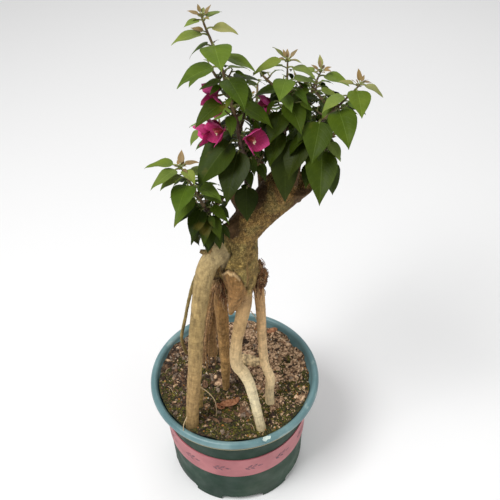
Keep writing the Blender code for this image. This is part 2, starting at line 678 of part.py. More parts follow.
def leaf_shape(stem, leaf, droop, roll):
    """Function that gives the leaf's solid for a swell."""
    rising = direction(leaf.heading, STALK_RISE)
    foot = point_along(stem, leaf.share) - rising * FOOT_DEPTH
    stalk_end = foot + rising * (FOOT_DEPTH + STALK_BASE + STALK_SHARE * leaf.length)
    droop += leaf.hang
    aim = direction(leaf.heading, -droop)
    up = Matrix.Rotation(math.radians(roll), 3, aim) @ direction(leaf.heading, 90 - droop)
    ratio = leaf.ratio or leaf_ratio(leaf.length)
    stations = SMALL_LEAF_STATIONS if leaf.length < SMALL_LEAF_LENGTH else LEAF_STATIONS
    if leaf.length < TINY_LEAF_LENGTH:
        stations = TINY_LEAF_STATIONS
    return lambda swell: blade(foot, stalk_end, aim, up, leaf.length, ratio, stations, LEAF_CURL, swell)


def blossom_shapes(stem, blossom):
    """Stalk with a knob, and three bracts round it, each as a function of the swell."""
    foot = point_along(stem, blossom.share)
    axis = direction(blossom.heading, blossom.rise)
    centre = foot + axis * blossom.stalk
    across = axis.cross(Vector((0, 0, 1))).normalized()
    spread = math.radians(BRACT_SPREAD)
    shapes = []
    for index in range(3):
        outward = Matrix.Rotation(math.tau * (index + 0.25) / 3, 3, axis) @ across
        aim = axis * math.cos(spread) + outward * math.sin(spread)
        up = axis * math.sin(spread) - outward * math.cos(spread)
        start = centre - aim * BRACT_DEPTH
        shapes.append(lambda swell, start=start, aim=aim, up=up: blade(
            start, start + aim * BRACT_WAIST, aim, up, blossom.size, BRACT_RATIO, BRACT_STATIONS,
            -BRACT_SPREAD, swell))
    return foot, centre, shapes


class Grown:
    """What stands in the crown so far: one search tree and box for each solid, with its owner."""

    def __init__(self):
        self.solids = []

    def add(self, owner, verts, faces):
        low = Vector([min(v[i] for v in verts) for i in range(3)])
        high = Vector([max(v[i] for v in verts) for i in range(3)])
        self.solids.append((owner, low, high, BVHTree.FromPolygons(verts, faces)))

    def touches(self, verts, faces, ignore=()):
        """Whether the solid meets any that stands there, apart from those of the ignored owners."""
        low = [min(v[i] for v in verts) for i in range(3)]
        high = [max(v[i] for v in verts) for i in range(3)]
        tree = None
        for owner, other_low, other_high, other in self.solids:
            if owner in ignore:
                continue
            if any(low[i] > other_high[i] or high[i] < other_low[i] for i in range(3)):
                continue
            tree = tree or BVHTree.FromPolygons(verts, faces)
            if tree.overlap(other):
                return True
        return False


def in_millimetres(obj):
    verts = [vert.co / MM for vert in obj.data.vertices]
    return verts, [tuple(face.vertices) for face in obj.data.polygons]


class Mass:
    """One shoot's stem, twigs, leaves and blossom, which become one solid."""

    def __init__(self, shoot):
        self.shoot = shoot
        self.name = "foliage_" + shoot.name
        self.rng = random.Random(shoot.name)
        tip, along = bough_tip(shoot.name)
        route = [tip + along * STRAIGHT_START] + shoot.route
        self.stem = [tip + along * GAP / MM] + smooth_route(route, CURVE_STEPS)
        self.tubes = [(self.stem, self.taper(len(self.stem), *shoot.radii))]
        self.solids = []

    def taper(self, count, first, last):
        return [first + (last - first) * i / (count - 1) for i in range(count)]

    def droop(self, share):
        foot_droop, tip_droop = self.shoot.droop
        return tip_droop + (foot_droop - tip_droop) * (1 - share)

    def try_leaf(self, grown, stem, leaf, droop, roll, seeded=True):
        """Adds the leaf unless it would touch a limb, another mass or, where seeded, its own mass."""
        shape = leaf_shape(stem, leaf, droop, roll)
        own = (self.name, self.name + "_stem")
        if grown.touches(*shape(TOUCH_MARGIN), ignore=own):
            return False
        if seeded and grown.touches(*shape(0), ignore=own[1:]):
            return False
        verts, faces = shape(0)
        self.solids.append((verts, faces))
        grown.add(self.name, verts, faces)
        return True

    def shown_leaves(self, grown):
        for leaf in self.shoot.leaves:
            roll = self.rng.uniform(-LEAF_ROLL, LEAF_ROLL)
            self.try_leaf(grown, self.stem, leaf, self.droop(leaf.share), roll, seeded=False)

    def shown_blossoms(self, grown):
        for blossom in self.shoot.blossoms:
            foot, centre, shapes = blossom_shapes(self.stem, blossom)
            own = (self.name, self.name + "_stem")
            solids = [shape(TOUCH_MARGIN) for shape in shapes]
            solids.append(rod(foot, centre, BLOSSOM_KNOB + TOUCH_MARGIN))
            if any(grown.touches(*solid, ignore=own) for solid in solids):
                continue
            widths = [BLOSSOM_STALK, BLOSSOM_STALK, BLOSSOM_KNOB]
            self.tubes.append(([foot, foot.lerp(centre, 0.5), centre], widths))
            for shape in shapes:
                verts, faces = shape(0)
                self.solids.append((verts, faces))
                grown.add(self.name, verts, faces)
            grown.add(self.name, *rod(foot, centre, BLOSSOM_KNOB))

    def turn(self, heading):
        """Heading all round the shoot, or only on the side turned from the viewer."""
        if self.shoot.all_round:
            return heading
        return BACK_HEADING + (heading % 360 - 180) / 180 * BACK_SPREAD

    def fill_leaf(self, grown, stem, share, heading):
        size = FILL_OLD_LENGTH + (FILL_YOUNG_LENGTH - FILL_OLD_LENGTH) * share ** FILL_SHRINK
        leaf = Leaf(share, heading, size * self.rng.uniform(*FILL_LENGTHS))
        extra = 0 if self.shoot.all_round else BACK_DROOP
        sway = self.rng.uniform(-FILL_DROOP_SPREAD, FILL_DROOP_SPREAD)
        droop = min(self.droop(share) + extra + sway, DROOP_LIMIT)
        return self.try_leaf(grown, stem, leaf, droop, self.rng.uniform(-LEAF_ROLL, LEAF_ROLL))

    def fill(self, grown):
        """Leaves up the stem, each turned by the golden angle from the last."""
        heading = self.rng.uniform(0, 360)
        length = sum((b - a).length for a, b in zip(self.stem, self.stem[1:]))
        count = int(length / FILL_STEP)
        for index in range(count):
            heading += GOLDEN_ANGLE + self.rng.uniform(-FILL_SPREAD, FILL_SPREAD)
            share = FIRST_FILL + (1 - FIRST_FILL) * (index + 0.5) / count
            self.fill_leaf(grown, self.stem, share, self.turn(heading))

    def grow_twigs(self, grown):
        """Short twigs with a few leaves each. One that would touch something is skipped."""
        heading = self.rng.uniform(0, 360)
        for index in range(self.shoot.twigs):
            heading += GOLDEN_ANGLE + self.rng.uniform(-TWIG_SPREAD, TWIG_SPREAD)
            turn = self.turn(heading)
            rise = TWIG_RISE + self.rng.uniform(-TWIG_RISE_SPREAD, TWIG_RISE_SPREAD)
            length = TWIG_LENGTH * self.rng.uniform(*TWIG_LENGTHS)
            share = FIRST_TWIG + (LAST_TWIG - FIRST_TWIG) * index / max(self.shoot.twigs - 1, 1)
            foot = point_along(self.stem, share)
            bend = foot + direction(turn, rise - TWIG_LIFT) * length / 2
            path = [foot, bend, bend + direction(turn + TWIG_TURN, rise + TWIG_LIFT) * length / 2]
            rods = [rod(first, second, TWIG_ROOM) for first, second in zip(path, path[1:])]
            if any(grown.touches(*solid, ignore=(self.name, self.name + "_stem")) for solid in rods):
                continue
            for solid in rods:
                grown.add(self.name + "_stem", *solid)
            self.tubes.append((path, TWIG_RADII))
            for leaf_share, side in TWIG_LEAVES:
                sway = self.rng.uniform(-TWIG_LEAF_SPREAD, TWIG_LEAF_SPREAD)
                self.fill_leaf(grown, path, leaf_share, turn + side + sway)

    def build(self, collection):
        parts = make_collection(self.name + "_parts")
        (points, radii), *others = self.tubes
        stem = tube(self.name, points, radii, collection, STEM_SIDES)
        for path, widths in others:
            tube(self.name + "_twig", path, widths, parts, STEM_SIDES)
        for verts, faces in self.solids:
            mesh = bpy.data.meshes.new(self.name + "_leaf")
            mesh.from_pydata([vert * MM for vert in verts], [], faces)
            shell = bmesh.new()
            shell.from_mesh(mesh)
            bmesh.ops.triangulate(shell, faces=shell.faces)
            bmesh.ops.recalc_face_normals(shell, faces=shell.faces)
            shell.to_mesh(mesh)
            shell.free()
            new_object(mesh.name, mesh, parts)
        join_by_union(stem, parts)
        stem.data.materials.clear()
        stem.data.materials.append(material(LEAF_GREEN))


def make_crown(collection, limbs):
    grown = Grown()
    for limb in limbs:
        grown.add(limb.name, *in_millimetres(limb))
    masses = [Mass(shoot) for shoot in SHOOTS]
    scratch = make_collection("stems")
    for mass in masses:
        stem = tube(mass.name + "_stem", *mass.tubes[0], scratch, STEM_SIDES)
        grown.add(mass.name + "_stem", *in_millimetres(stem))
        bpy.data.objects.remove(stem, do_unlink=True)
    bpy.data.collections.remove(scratch)
    for mass in masses:
        mass.shown_leaves(grown)
    for mass in masses:
        mass.shown_blossoms(grown)
    for mass in masses:
        mass.grow_twigs(grown)
    for mass in masses:
        mass.fill(grown)
    for mass in masses:
        mass.build(collection)


def main():
    clear_scene()
    plant = make_collection("bougainvillea_bonsai")
    make_pot(plant)
    make_band(plant)
    make_soil(plant)
    collars = make_collection("collars")
    limbs = make_limbs(plant, collars)
    trunk = make_trunk(plant, collars)
    make_crown(plant, limbs + [trunk])


main()
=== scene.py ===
"""Potted bougainvillea bonsai: the looks of its pot, soil, wood, leaves and blossom.

Metres, +Z up, in the frame of the solids. Routes of limbs and stems are in millimetres.
"""
import json
import math
import random
from collections import namedtuple

import bmesh
import bpy
from mathutils import Matrix, Vector, noise
from mathutils.bvhtree import BVHTree
from mathutils.kdtree import KDTree

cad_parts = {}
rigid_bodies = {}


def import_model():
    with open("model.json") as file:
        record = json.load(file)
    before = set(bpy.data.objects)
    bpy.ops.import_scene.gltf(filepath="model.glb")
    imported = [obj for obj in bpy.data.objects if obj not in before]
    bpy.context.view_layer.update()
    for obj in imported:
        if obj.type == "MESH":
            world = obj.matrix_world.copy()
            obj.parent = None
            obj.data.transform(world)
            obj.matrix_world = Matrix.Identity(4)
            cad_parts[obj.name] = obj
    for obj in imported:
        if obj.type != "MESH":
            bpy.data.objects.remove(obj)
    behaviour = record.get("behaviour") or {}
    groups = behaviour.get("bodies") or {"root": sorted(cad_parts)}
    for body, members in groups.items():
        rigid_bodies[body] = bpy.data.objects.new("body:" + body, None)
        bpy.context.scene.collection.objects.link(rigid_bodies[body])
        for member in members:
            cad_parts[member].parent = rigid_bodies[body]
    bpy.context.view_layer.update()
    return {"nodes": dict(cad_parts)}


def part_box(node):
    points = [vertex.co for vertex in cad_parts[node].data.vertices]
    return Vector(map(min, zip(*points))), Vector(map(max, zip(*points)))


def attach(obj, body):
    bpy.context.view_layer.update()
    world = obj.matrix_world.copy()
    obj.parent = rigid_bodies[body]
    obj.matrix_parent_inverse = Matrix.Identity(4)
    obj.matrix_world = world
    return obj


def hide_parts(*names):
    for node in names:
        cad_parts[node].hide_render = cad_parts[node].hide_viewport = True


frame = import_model()

MM = 0.001
GAP = 0.0003

# Pot
RIM_RADIUS = 0.095
POT_HEIGHT = 0.142
WALL_TOP_RADIUS = 0.0822
WALL_BASE_RADIUS = 0.0786
WALL_THICKNESS = 0.0024
FLOOR_TOP = 0.011
RIM_DEPTH = 0.0135
RIM_ROLL_HEIGHT = 0.0055
RIM_LIP_RADIUS = 0.0882
RIM_INNER_RADIUS = 0.0868
FOOT_COUNT = 6
FOOT_ANGLE = math.radians(24)
FIRST_FOOT_ANGLE = math.radians(-56)
NOTCH_HEIGHT = 0.008
NOTCH_INNER_RADIUS = 0.062
BAND_BOTTOM = 0.0582
BAND_TOP = 0.0925
BAND_THICKNESS = 0.0007
BAND_TUCK = 1.6
BASE_EDGE = 0.0008
BASE_FLARE = 0.0002
BASE_INSET = 0.0006
POT_STEPS = 288
BAND_STEPS = 160
RIM_STEPS = 20
WALL_STEPS = 24
SHARP_EDGE = math.radians(38)
# Paints of the pot, and the rim's skirt below its roll: inward from the rim, down from its top, paint
WALL, RIM, SKIRT_HIGHLIGHT, TORN, INSIDE = range(5)
# The pale rows on the skirt's step are a painted highlight
SKIRT = [(0.0006, 0.0064, RIM), (0.0013, 0.0074, WALL), (0.0018, 0.0090, WALL), (0.0018, 0.0096, SKIRT_HIGHLIGHT),
         (0.0022, 0.0107, SKIRT_HIGHLIGHT), (0.0032, 0.0112, WALL), (0.0047, 0.0128, WALL)]
SKIRT_END = 0.0006

# Soil: tilted a little, in low humps that fade out where the roots stand
SOIL_TOP = 0.136
SOIL_SLOPE = (-0.014, -0.018)
SOIL_HUMP = 0.003
SOIL_WAVES = [(31, 20, 0.4), (27, 95, 2.1), (38, 150, 4.0)]
FOOT_ROOM = 0.009
FOOT_FADE = 0.009

# Trunk, cut off nearly level where the shoots stand
CURVE_STEPS = 2
TRUNK_ROUTE = [(9, -22, 292), (10, -22, 308), (10, -22, 327), (11, -22, 349), (13, -21, 368),
               (23, -20, 384), (37, -18, 400), (48, -16, 412), (62, -14, 426), (76, -12, 440)]
TRUNK_RADII = [9.5, 15.5, 18, 17, 15.8, 15.4, 16, 17.5, 18.5, 18.5]
CHOP_POINT = Vector((0.050, -0.015, 0.4225))
CHOP_NORMAL = Vector((0.28, -0.05, 0.96))
CALLUS_ROUTE = [(10, -34, 345), (9, -37, 325), (5, -35, 300), (0, -31, 274)]
CALLUS_RADII = [9, 9.5, 7, 2.2]
FLANK_ROUTE = [(4, -20, 336), (-6, -19, 323), (-15, -16, 310)]
FLANK_RADII = [9, 7.5, 4]
OLD_STUB_ROUTE = [(-8, -26, 350), (-17, -29, 354), (-24, -31, 357)]
OLD_STUB_RADII = [4, 3, 2]
FIBRE_LUMPS = [(26, -17, 323, 6.5), (30, -15, 311, 7), (29, -12, 299, 6.5), (24, -8, 308, 6)]

# Roots: name, route from inside the trunk to below the soil's top, radii
ROOTS = [
    ("root_left_front",
     [(2, -20, 346), (-8, -27, 350), (-17, -34, 344), (-23, -41, 328), (-28, -48, 300),
      (-33, -55, 265), (-36, -59, 230), (-40, -62, 195), (-43.5, -63, 160), (-46, -64, 130)],
     [11, 10.5, 9.2, 8.4, 7.6, 7.4, 7.2, 7.0, 6.8, 7.4]),
    ("root_right_front",
     [(14, -26, 306), (14, -31, 286), (9, -36, 263), (5, -41, 242), (4, -47, 219),
      (11, -50, 206), (17, -55, 193), (22, -62, 170), (27, -69, 144), (29, -72, 130)],
     [8, 7, 6.2, 6, 6.4, 6.4, 5.6, 5.2, 5.2, 5.6]),
    ("root_right_back",
     [(16, -17, 322), (25, -11, 306), (28, -10, 288), (30, -16, 257), (31, -23, 225),
      (33, -29, 195), (39, -33, 174), (38, -35, 154), (39, -38, 130)],
     [7, 6, 5.6, 5, 4.8, 4.8, 5.2, 5, 5.2]),
    ("root_centre",
     [(-2, -18, 304), (-9, -17, 283), (-9, -16, 248), (-9, -16, 210), (-9, -17, 170), (-10, -18, 130)],
     [8, 7, 6.6, 6, 5, 3.6]),
    ("root_back_broad",
     [(4, -10, 302), (-4, 0, 284), (-13, 11, 252), (-20, 20, 212), (-26, 28, 170), (-26, 35, 130)],
     [8, 7, 6.4, 6.2, 6.4, 7]),
    ("root_back_thin",
     [(-2, -14, 312), (-16, -8, 296), (-24, 0, 262), (-32, 8, 217), (-38, 21, 174), (-41, 37, 130)],
     [5, 4.6, 4.2, 4, 3.8, 4.2]),
    ("root_far_left",
     [(-2, -14, 338), (-18, 0, 316), (-33, 10, 288), (-44, 17, 248), (-52, 23, 208),
      (-59, 28, 173), (-58, 31, 150), (-55, 34, 130)],
     [3.2, 2.6, 2.3, 2.1, 2, 2, 2, 2.2]),
]

# Small root beside the left front one, on its own in the soil's moss
SIDE_ROOT = ("root_left_small", [(-33, -52, 186), (-34, -47, 168), (-36, -43, 150), (-37, -42, 130)],
             [2, 2.2, 2.4, 2.6])

# Boughs: name, route from inside the trunk to the tip, radii
BOUGHS = [
    ("bough_tall", [(27, -20, 396), (22, -22, 408), (20, -23, 419)], [4.4, 3.6, 3.1]),
    ("bough_centre", [(45, -18, 408), (46, -18, 433), (49, -20, 463)], [4.4, 3.6, 2.6]),
    ("bough_inner", [(52, -7, 406), (54, -6, 430), (59, -8, 454)], [4.4, 3.6, 2.6]),
    ("bough_outer", [(55, -23, 402), (59, -25, 432), (63, -25, 460)], [4.4, 3.6, 2.6]),
    ("bough_right", [(62, -15, 400), (67, -18, 418), (69, -22, 433)], [3.8, 3, 2.3]),
    ("bough_left", [(14, -22, 386), (3, -28, 383), (-7, -34, 382)], [5.4, 4.6, 3.4]),
    ("bough_back_left", [(16, -16, 388), (8, -2, 394), (1, 12, 403), (-1, 20, 413)],
     [5.4, 4.4, 3.6, 3]),
    ("bough_back", [(34, -12, 404), (33, 4, 410), (30, 17, 422), (27, 24, 436)],
     [5.4, 4.4, 3.6, 3]),
    ("bough_back_right", [(50, -8, 404), (57, 6, 412), (66, 16, 424), (73, 22, 436)],
     [5.4, 4.4, 3.6, 3]),
]
# Solids that the wood stands for
LIMBS = ["trunk", SIDE_ROOT[0]] + [limb[0] for limb in ROOTS + BOUGHS]

# Leaves: ovate, folded a little along the midrib, on stalks that rise and then let the blade hang
LEAF_RATIO = 0.66
YOUNG_RATIO = 0.42
YOUNG_LENGTH = 8
GROWN_LENGTH = 24
LEAF_STATIONS = [(0.04, 0.66), (0.30, 1.02), (0.66, 0.62)]
SMALL_LEAF_STATIONS = [(0.10, 0.85), (0.50, 0.90)]
SMALL_LEAF_LENGTH = 36
TINY_LEAF_STATIONS = [(0.36, 0.95)]
TINY_LEAF_LENGTH = 16.5
LEAF_THICKNESS = 0.022
LEAF_FOLD = math.radians(16)
LEAF_CURL = 26
LEAF_ROLL = 10
FOOT_DEPTH = 0.5
STALK_BASE = 2
STALK_SHARE = 0.16
STALK_RISE = 22
STALK_RADIUS = 0.7
TOUCH_MARGIN = 0.7
STEM_SIDES = 4
STRAIGHT_START = 4

# Seeded twigs, and seeded leaves that fill a shoot where no leaf is placed by name
TWIG_LENGTH = 26
TWIG_LENGTHS = (0.85, 1.15)
TWIG_RISE = 28
TWIG_RISE_SPREAD = 8
TWIG_SPREAD = 20
TWIG_RADII = [1.5, 1.2, 0.9]
TWIG_ROOM = 2.2
TWIG_LEAVES = [(0.5, -75), (0.85, 65), (1.0, -15)]
FIRST_TWIG = 0.16
LAST_TWIG = 0.62
TWIG_TURN = 12
TWIG_LIFT = 12
TWIG_LEAF_SPREAD = 15
FILL_STEP = 11
FILL_SPREAD = 12
FILL_DROOP_SPREAD = 8
FILL_SHRINK = 1.4
FIRST_FILL = 0.1
DROOP_LIMIT = 74
GOLDEN_ANGLE = 137.5
FILL_OLD_LENGTH = 40
FILL_YOUNG_LENGTH = 13
FILL_LENGTHS = (0.85, 1.12)
BACK_HEADING = 90
BACK_SPREAD = 78
BACK_DROOP = 26

# Blossom: three papery bracts in a cup at the end of a stalk
BRACT_RATIO = 0.98
BRACT_SPREAD = 34
BRACT_STATIONS = [(0.16, 0.54), (0.60, 0.98)]
BLOSSOM_KNOB = 1.6
BLOSSOM_STALK_RADII = [0.8, 0.7, 0.9]
BRACT_DEPTH = 0.4
BRACT_WAIST = 2.2

Leaf = namedtuple("Leaf", "share heading length ratio hang", defaults=[None, 0])
Blossom = namedtuple("Blossom", "share heading rise stalk size")
Shoot = namedtuple("Shoot", "name route radii droop leaves blossoms twigs all_round")

SHOOTS = [
    Shoot("tall", [(19, -28, 450), (15, -31, 468), (13, -33, 490), (9, -35, 508), (5, -36, 531),
                   (-2, -36, 555), (-7, -36, 570), (-9, -36, 578)], (2.9, 0.9), (62, 4),
          [(0.03, 268, 30), (0.28, 250, 43, 0.58), (0.33, 215, 46), (0.56, 208, 29),
           (0.54, 340, 31), (0.69, 295, 30), (0.74, 202, 31), (0.66, 176, 18),
           (0.67, 20, 28, 0.5), (0.79, 337, 25, 0.5), (0.72, 30, 20, 0.4),
           (0.855, 281, 28, 0.78), (0.90, 199, 23), (0.93, 343, 19), (0.97, 220, 13),
           (0.965, 50, 16), (0.99, 80, 6, 0.5, -20), (0.985, 150, 9, 0.45, -10),
           (0.98, 300, 8, 0.5, -20)],
          [(0.43, 212, 4, 11, 18), (0.45, 188, -16, 20, 14), (0.37, 318, 8, 7, 18),
           (0.60, 149, -14, 9, 15), (0.54, 200, 12, 5, 13), (0.55, 29, 0, 17, 15)],
          3, False),
    Shoot("centre", [(50, -21, 480), (51, -22, 501), (51, -22, 519), (51, -22, 536)],
          (2.4, 0.9), (55, 6),
          [(0.02, 272, 52, 0.44, 20), (0.39, 240, 27), (0.52, 289, 28),
           (0.79, 255, 23, 0.7), (0.64, 170, 24), (0.98, 197, 24, 0.42, 15),
           (0.90, 162, 11), (0.99, 330, 9), (0.91, 324, 20), (0.75, 5, 21),
           (1.0, 150, 11, 0.42, -38), (1.0, 35, 8, 0.42, -38), (0.51, 165, 20),
           (0.06, 205, 27, 0.6, 12), (0.16, 238, 30, 0.6, 5), (0.24, 188, 24),
           (0.0, 232, 20, 0.6, 14)],
          [(0.47, 185, 4, 10, 14)], 3, False),
    Shoot("inner", [(64, -4, 469), (67, -2, 481), (71, 0, 493), (76, 2, 506), (79, 2, 514)],
          (2.4, 0.8), (58, 4),
          [(1.0, 95, 10, 0.42, -50), (0.93, 150, 17), (0.91, 330, 22), (0.62, 160, 16),
           (0.66, 195, 22), (0.62, 50, 18), (0.45, 345, 20), (0.98, 240, 9, 0.45, -25),
           (0.05, 225, 34, 0.6, 8), (0.12, 275, 30, 0.6, 6)],
          [], 3, False),
    Shoot("outer", [(70, -28, 478), (78, -30, 490), (85, -31, 497), (94, -32, 508),
                    (104, -32, 520)], (2.4, 0.9), (55, 18),
          [(0.14, 238, 33), (0.64, 283, 33), (0.93, 273, 26), (0.44, 254, 34),
           (0.83, 210, 21), (0.99, 322, 17), (1.0, 20, 8), (1.0, 95, 10, 0.42, -60),
           (0.75, 330, 17), (0.97, 160, 12, 0.45, -20), (0.0, 262, 34, 0.6, 12)],
          [], 2, False),
    Shoot("right", [(75, -26, 450), (80, -28, 463), (84, -28, 472)], (2.1, 0.9), (55, 35),
          [(0.72, 264, 44, 0.56), (0.90, 304, 18), (0.34, 247, 21), (0.15, 200, 24, 0.6, 10)],
          [], 1, False),
    Shoot("left", [(-12, -38, 399), (-16, -42, 416), (-22, -44, 433), (-27, -46, 448),
                   (-32, -46, 460)], (3, 0.9), (62, 8),
          [(1.0, 178, 24), (1.0, 85, 11, 0.5, -48), (0.98, 228, 28, 0.42),
           (0.91, 222, 21), (0.80, 254, 30), (1.0, 20, 13), (0.97, 300, 18),
           (0.75, 335, 23), (0.62, 350, 19), (0.63, 235, 30, 0.45), (0.44, 244, 26),
           (0.36, 262, 27, 0.42), (0.22, 262, 22), (0.45, 335, 22), (0.11, 320, 15),
           (0.56, 222, 27), (0.30, 228, 26, 0.45), (0.86, 40, 20), (0.16, 12, 16),
           (0.07, 246, 18, 0.6), (0.34, 298, 22, 0.55), (0.19, 292, 22, 0.5)],
          [], 3, False),
    Shoot("back_left", [(-2, 27, 422), (-1, 31, 431), (4, 34, 441)], (2.6, 1), (45, 10),
          [], [], 4, False),
    Shoot("back", [(26, 28, 450), (25, 31, 464), (24, 33, 476)], (2.6, 1), (60, 25),
          [], [], 5, True),
    Shoot("back_right", [(79, 26, 446), (84, 29, 456), (88, 31, 464)], (2.6, 1), (60, 25),
          [], [], 5, True),
]

# Camera of the photograph's view
CAMERA_PLACE = Vector((0.0205, -0.491, 0.7777))
CAMERA_PITCH = 42.42
CAMERA_ROLL = 1.29
CAMERA_LENS = 50.4
SENSOR_WIDTH = 36

# Lights round the plant: name, place, size, power
LIGHTS = [("key", (-0.75, -0.60, 1.7), 0.7, 24), ("fill", (1.2, -0.6, 0.9), 1.2, 4),
          ("back", (0.3, 1.3, 1.4), 1.0, 5)]
LIGHT_TARGET = (0.02, -0.02, 0.3)
WORLD_STRENGTH = 0.44
FLOOR_SIZE = 6
FLOOR_DROP = 0.0005

# Torn chip on the rim, and the sprigs printed round the band: across, up, half length, half width, lean
RIM_CHIP = (0.033, -0.0845)
RIM_CHIP_SIZE = 0.0062
RIM_CHIP_DEPTH = 0.0030
SPRIG_COUNT = 14
SPRIG_CORNERS = 12
SPRIG_LIFT = 0.00008
SPRIG = [(-1, 0, 8.4, 0.35, 0), (9.4, 0, 3.2, 1.4, 0)]
SPRIG += [(2.9 * step - 5.5, side * 2.5, 3.2, 1.4, side * 38) for step, side in enumerate((-1, 1, -1, 1))]

# Soil: how far it reaches, its small mounds at the roots, and the rings and spokes of its mesh
SOIL_REACH = 0.0855
MOUND_HEIGHT = 0.0012
SOIL_RINGS = 70
SOIL_SPOKES = 180
RING_BIAS = 0.85
# Crumbs: how many, smallest, largest, flatness, tones to pick from, where they lie
CRUMBS = [(3000, 0.5, 1.4, 0.8, (0, 0, 1, 2, 3), "all"), (2600, 1.0, 2.4, 0.65, (0, 1, 1, 2, 2, 3), "dry"),
          (260, 2.2, 3.9, 0.5, (1, 2, 2, 3), "dry"), (240, 0.6, 1.2, 0.9, (4, 5), "all"),
          (560, 0.6, 1.7, 0.8, (5, 1, 0, 0, 3), "moss"), (190, 1.8, 3.6, 0.55, (0, 0, 1, 3), "moss")]
BROWN, TAN, GREY = 1, 2, 3
CRUMB_TONES = [("dark", ((30, 20, 13), (74, 54, 38))), ("brown", ((72, 50, 34), (136, 102, 74))),
               ("tan", ((132, 98, 72), (232, 198, 160))), ("grey", ((84, 70, 58), (156, 136, 116))),
               ("perlite", ((206, 190, 160), (240, 232, 212))), ("amber", ((132, 84, 36), (190, 130, 60))),
               ("dry", ((138, 88, 58), (196, 142, 104)))]
# Curled dry leaf, flakes and chips: x, y, half length, half width, turn, curl, tone
DRY_BITS = [(-6, -40, 11, 4.2, 12, 2.2, 6), (-16, -43, 6, 3, 150, 1.4, 6), (2, -36, 5, 2.6, 60, 1.8, 6),
            (45, 66, 7, 4, 20, 1.2, 6), (13, 33, 9, 5, 10, 0.3, 2), (-33, -13, 6, 3, 100, 1.2, 1),
            (-17, -10, 7, 3.4, 35, 1.0, 2), (30, -60, 5, 2.6, 140, 1.1, 2), (-8, -62, 6, 2.4, 170, 1.4, 1)]
MOSS_TUFTS = 900
MOSS_TONES = [("deep", (48, 52, 9)), ("green", (88, 92, 16)), ("olive", (136, 128, 34)),
              ("straw", (184, 168, 86))]
FIBRE_COUNT = 46
FIBRE_REACH = 0.078
FIBRE_STEPS = 6
# Hair roots at the left root, beyond its foot and at the right: route, first and last radius
HAIR_ROOTS = [([(-36, -60, 200), (-27, -60, 190), (-20, -58, 172), (-19, -56, 152), (-20, -55, 136)],
               (0.55, 0.35)),
              ([(-49, -70, 160), (-53, -73, 150), (-54, -75, 137)], (0.5, 0.4)),
              ([(20, -17, 262), (26, -18, 250), (31, -22, 240), (33, -25, 228)], (0.45, 0.3))]
WOOD_VOXEL = 0.00103
LIMB_STEPS = 8
LIMB_SIDES = 28
Sample = namedtuple("Sample", "limb point width along travelled share")
# Relief of each limb's bark: its lumps, its creases and its grain
RELIEF = {"trunk": (0.5, 0.55, 0.28), "callus": (0.4, 0.7, 0.2), "fibres": (1.0, 1.2, 0.5),
          "root": (0.35, 0.32, 0.14), "root_centre": (0.4, 0.7, 0.25), "root_back_broad": (0.4, 0.6, 0.2),
          "flank": (0.4, 0.5, 0.25)}
TANGLE_STRANDS = 260
# Where wisps hang: middle, spread, how many, shortest and longest
HANGING_FIBRES = [(-8, -26, 312, 4, 40, 6, 24), (-5, -28, 298, 4, 30, 5, 18), (13, -37, 297, 1.5, 5, 1, 3),
                  (-4, -31, 302, 2, 10, 2, 6), (27, -17, 300, 5, 40, 5, 18),
                  (28, -18, 330, 4, 24, 3, 9)]
# Rootlets between the back roots, and a low pale root in the soil: route, first and last radius, tone
ROOTLETS = [([(-9, -22, 306), (-15, -10, 288), (-19, -3, 266), (-24, 0, 238), (-28, 2, 212), (-31, 6, 175),
              (-31, 10, 134)], (1.6, 1.0), 3),
            ([(-8, -20, 304), (-13, -10, 286), (-17, -2, 264), (-21, 2, 236), (-25, 6, 206), (-28, 12, 170),
              (-29, 16, 134)], (1.3, 0.9), 3),
            ([(-11, -20, 305), (-18, -8, 284), (-22, -2, 260), (-26, 2, 234), (-29, 8, 204), (-33, 12, 170),
              (-35, 14, 134)], (1.4, 1.0), 3),
            ([(-6, -20, 300), (-10, -6, 276), (-14, 4, 248), (-18, 10, 214), (-21, 14, 176),
              (-22, 16, 134)], (1.1, 0.8), 3),
            ([(0, 29, 125), (8, 26, 130.5), (16, 23.5, 132.2), (24, 20.5, 132), (32, 17, 129.5),
              (40, 12, 123)], (8.2, 7.6), 4)]

# Fine twigs and small leaves of the crown, kept above the hem of each mass
AXIL_SHARE = 0.5
AXIL_LENGTHS = (6, 12)
AXIL_GROWN = 18
FINE_STEP = 2.2
FINE_TURN = 25
FINE_TWIG_LENGTHS = (6, 17)
FINE_ROOM = 1.0
FINE_RADII = [0.8, 0.65, 0.5]
FINE_LEAVES = [(0.55, 80), (0.75, -70), (1.0, 10), (1.0, 75)]
TIP_LEAVES = 8
TIP_LENGTHS = (3.5, 7.5)
HEM = 0.12

# Share of a shoot from which its stem bears no fine twigs, and how much the stem slims towards its tip
BARE_FROM = 0.68
SLIMMER = 0.34
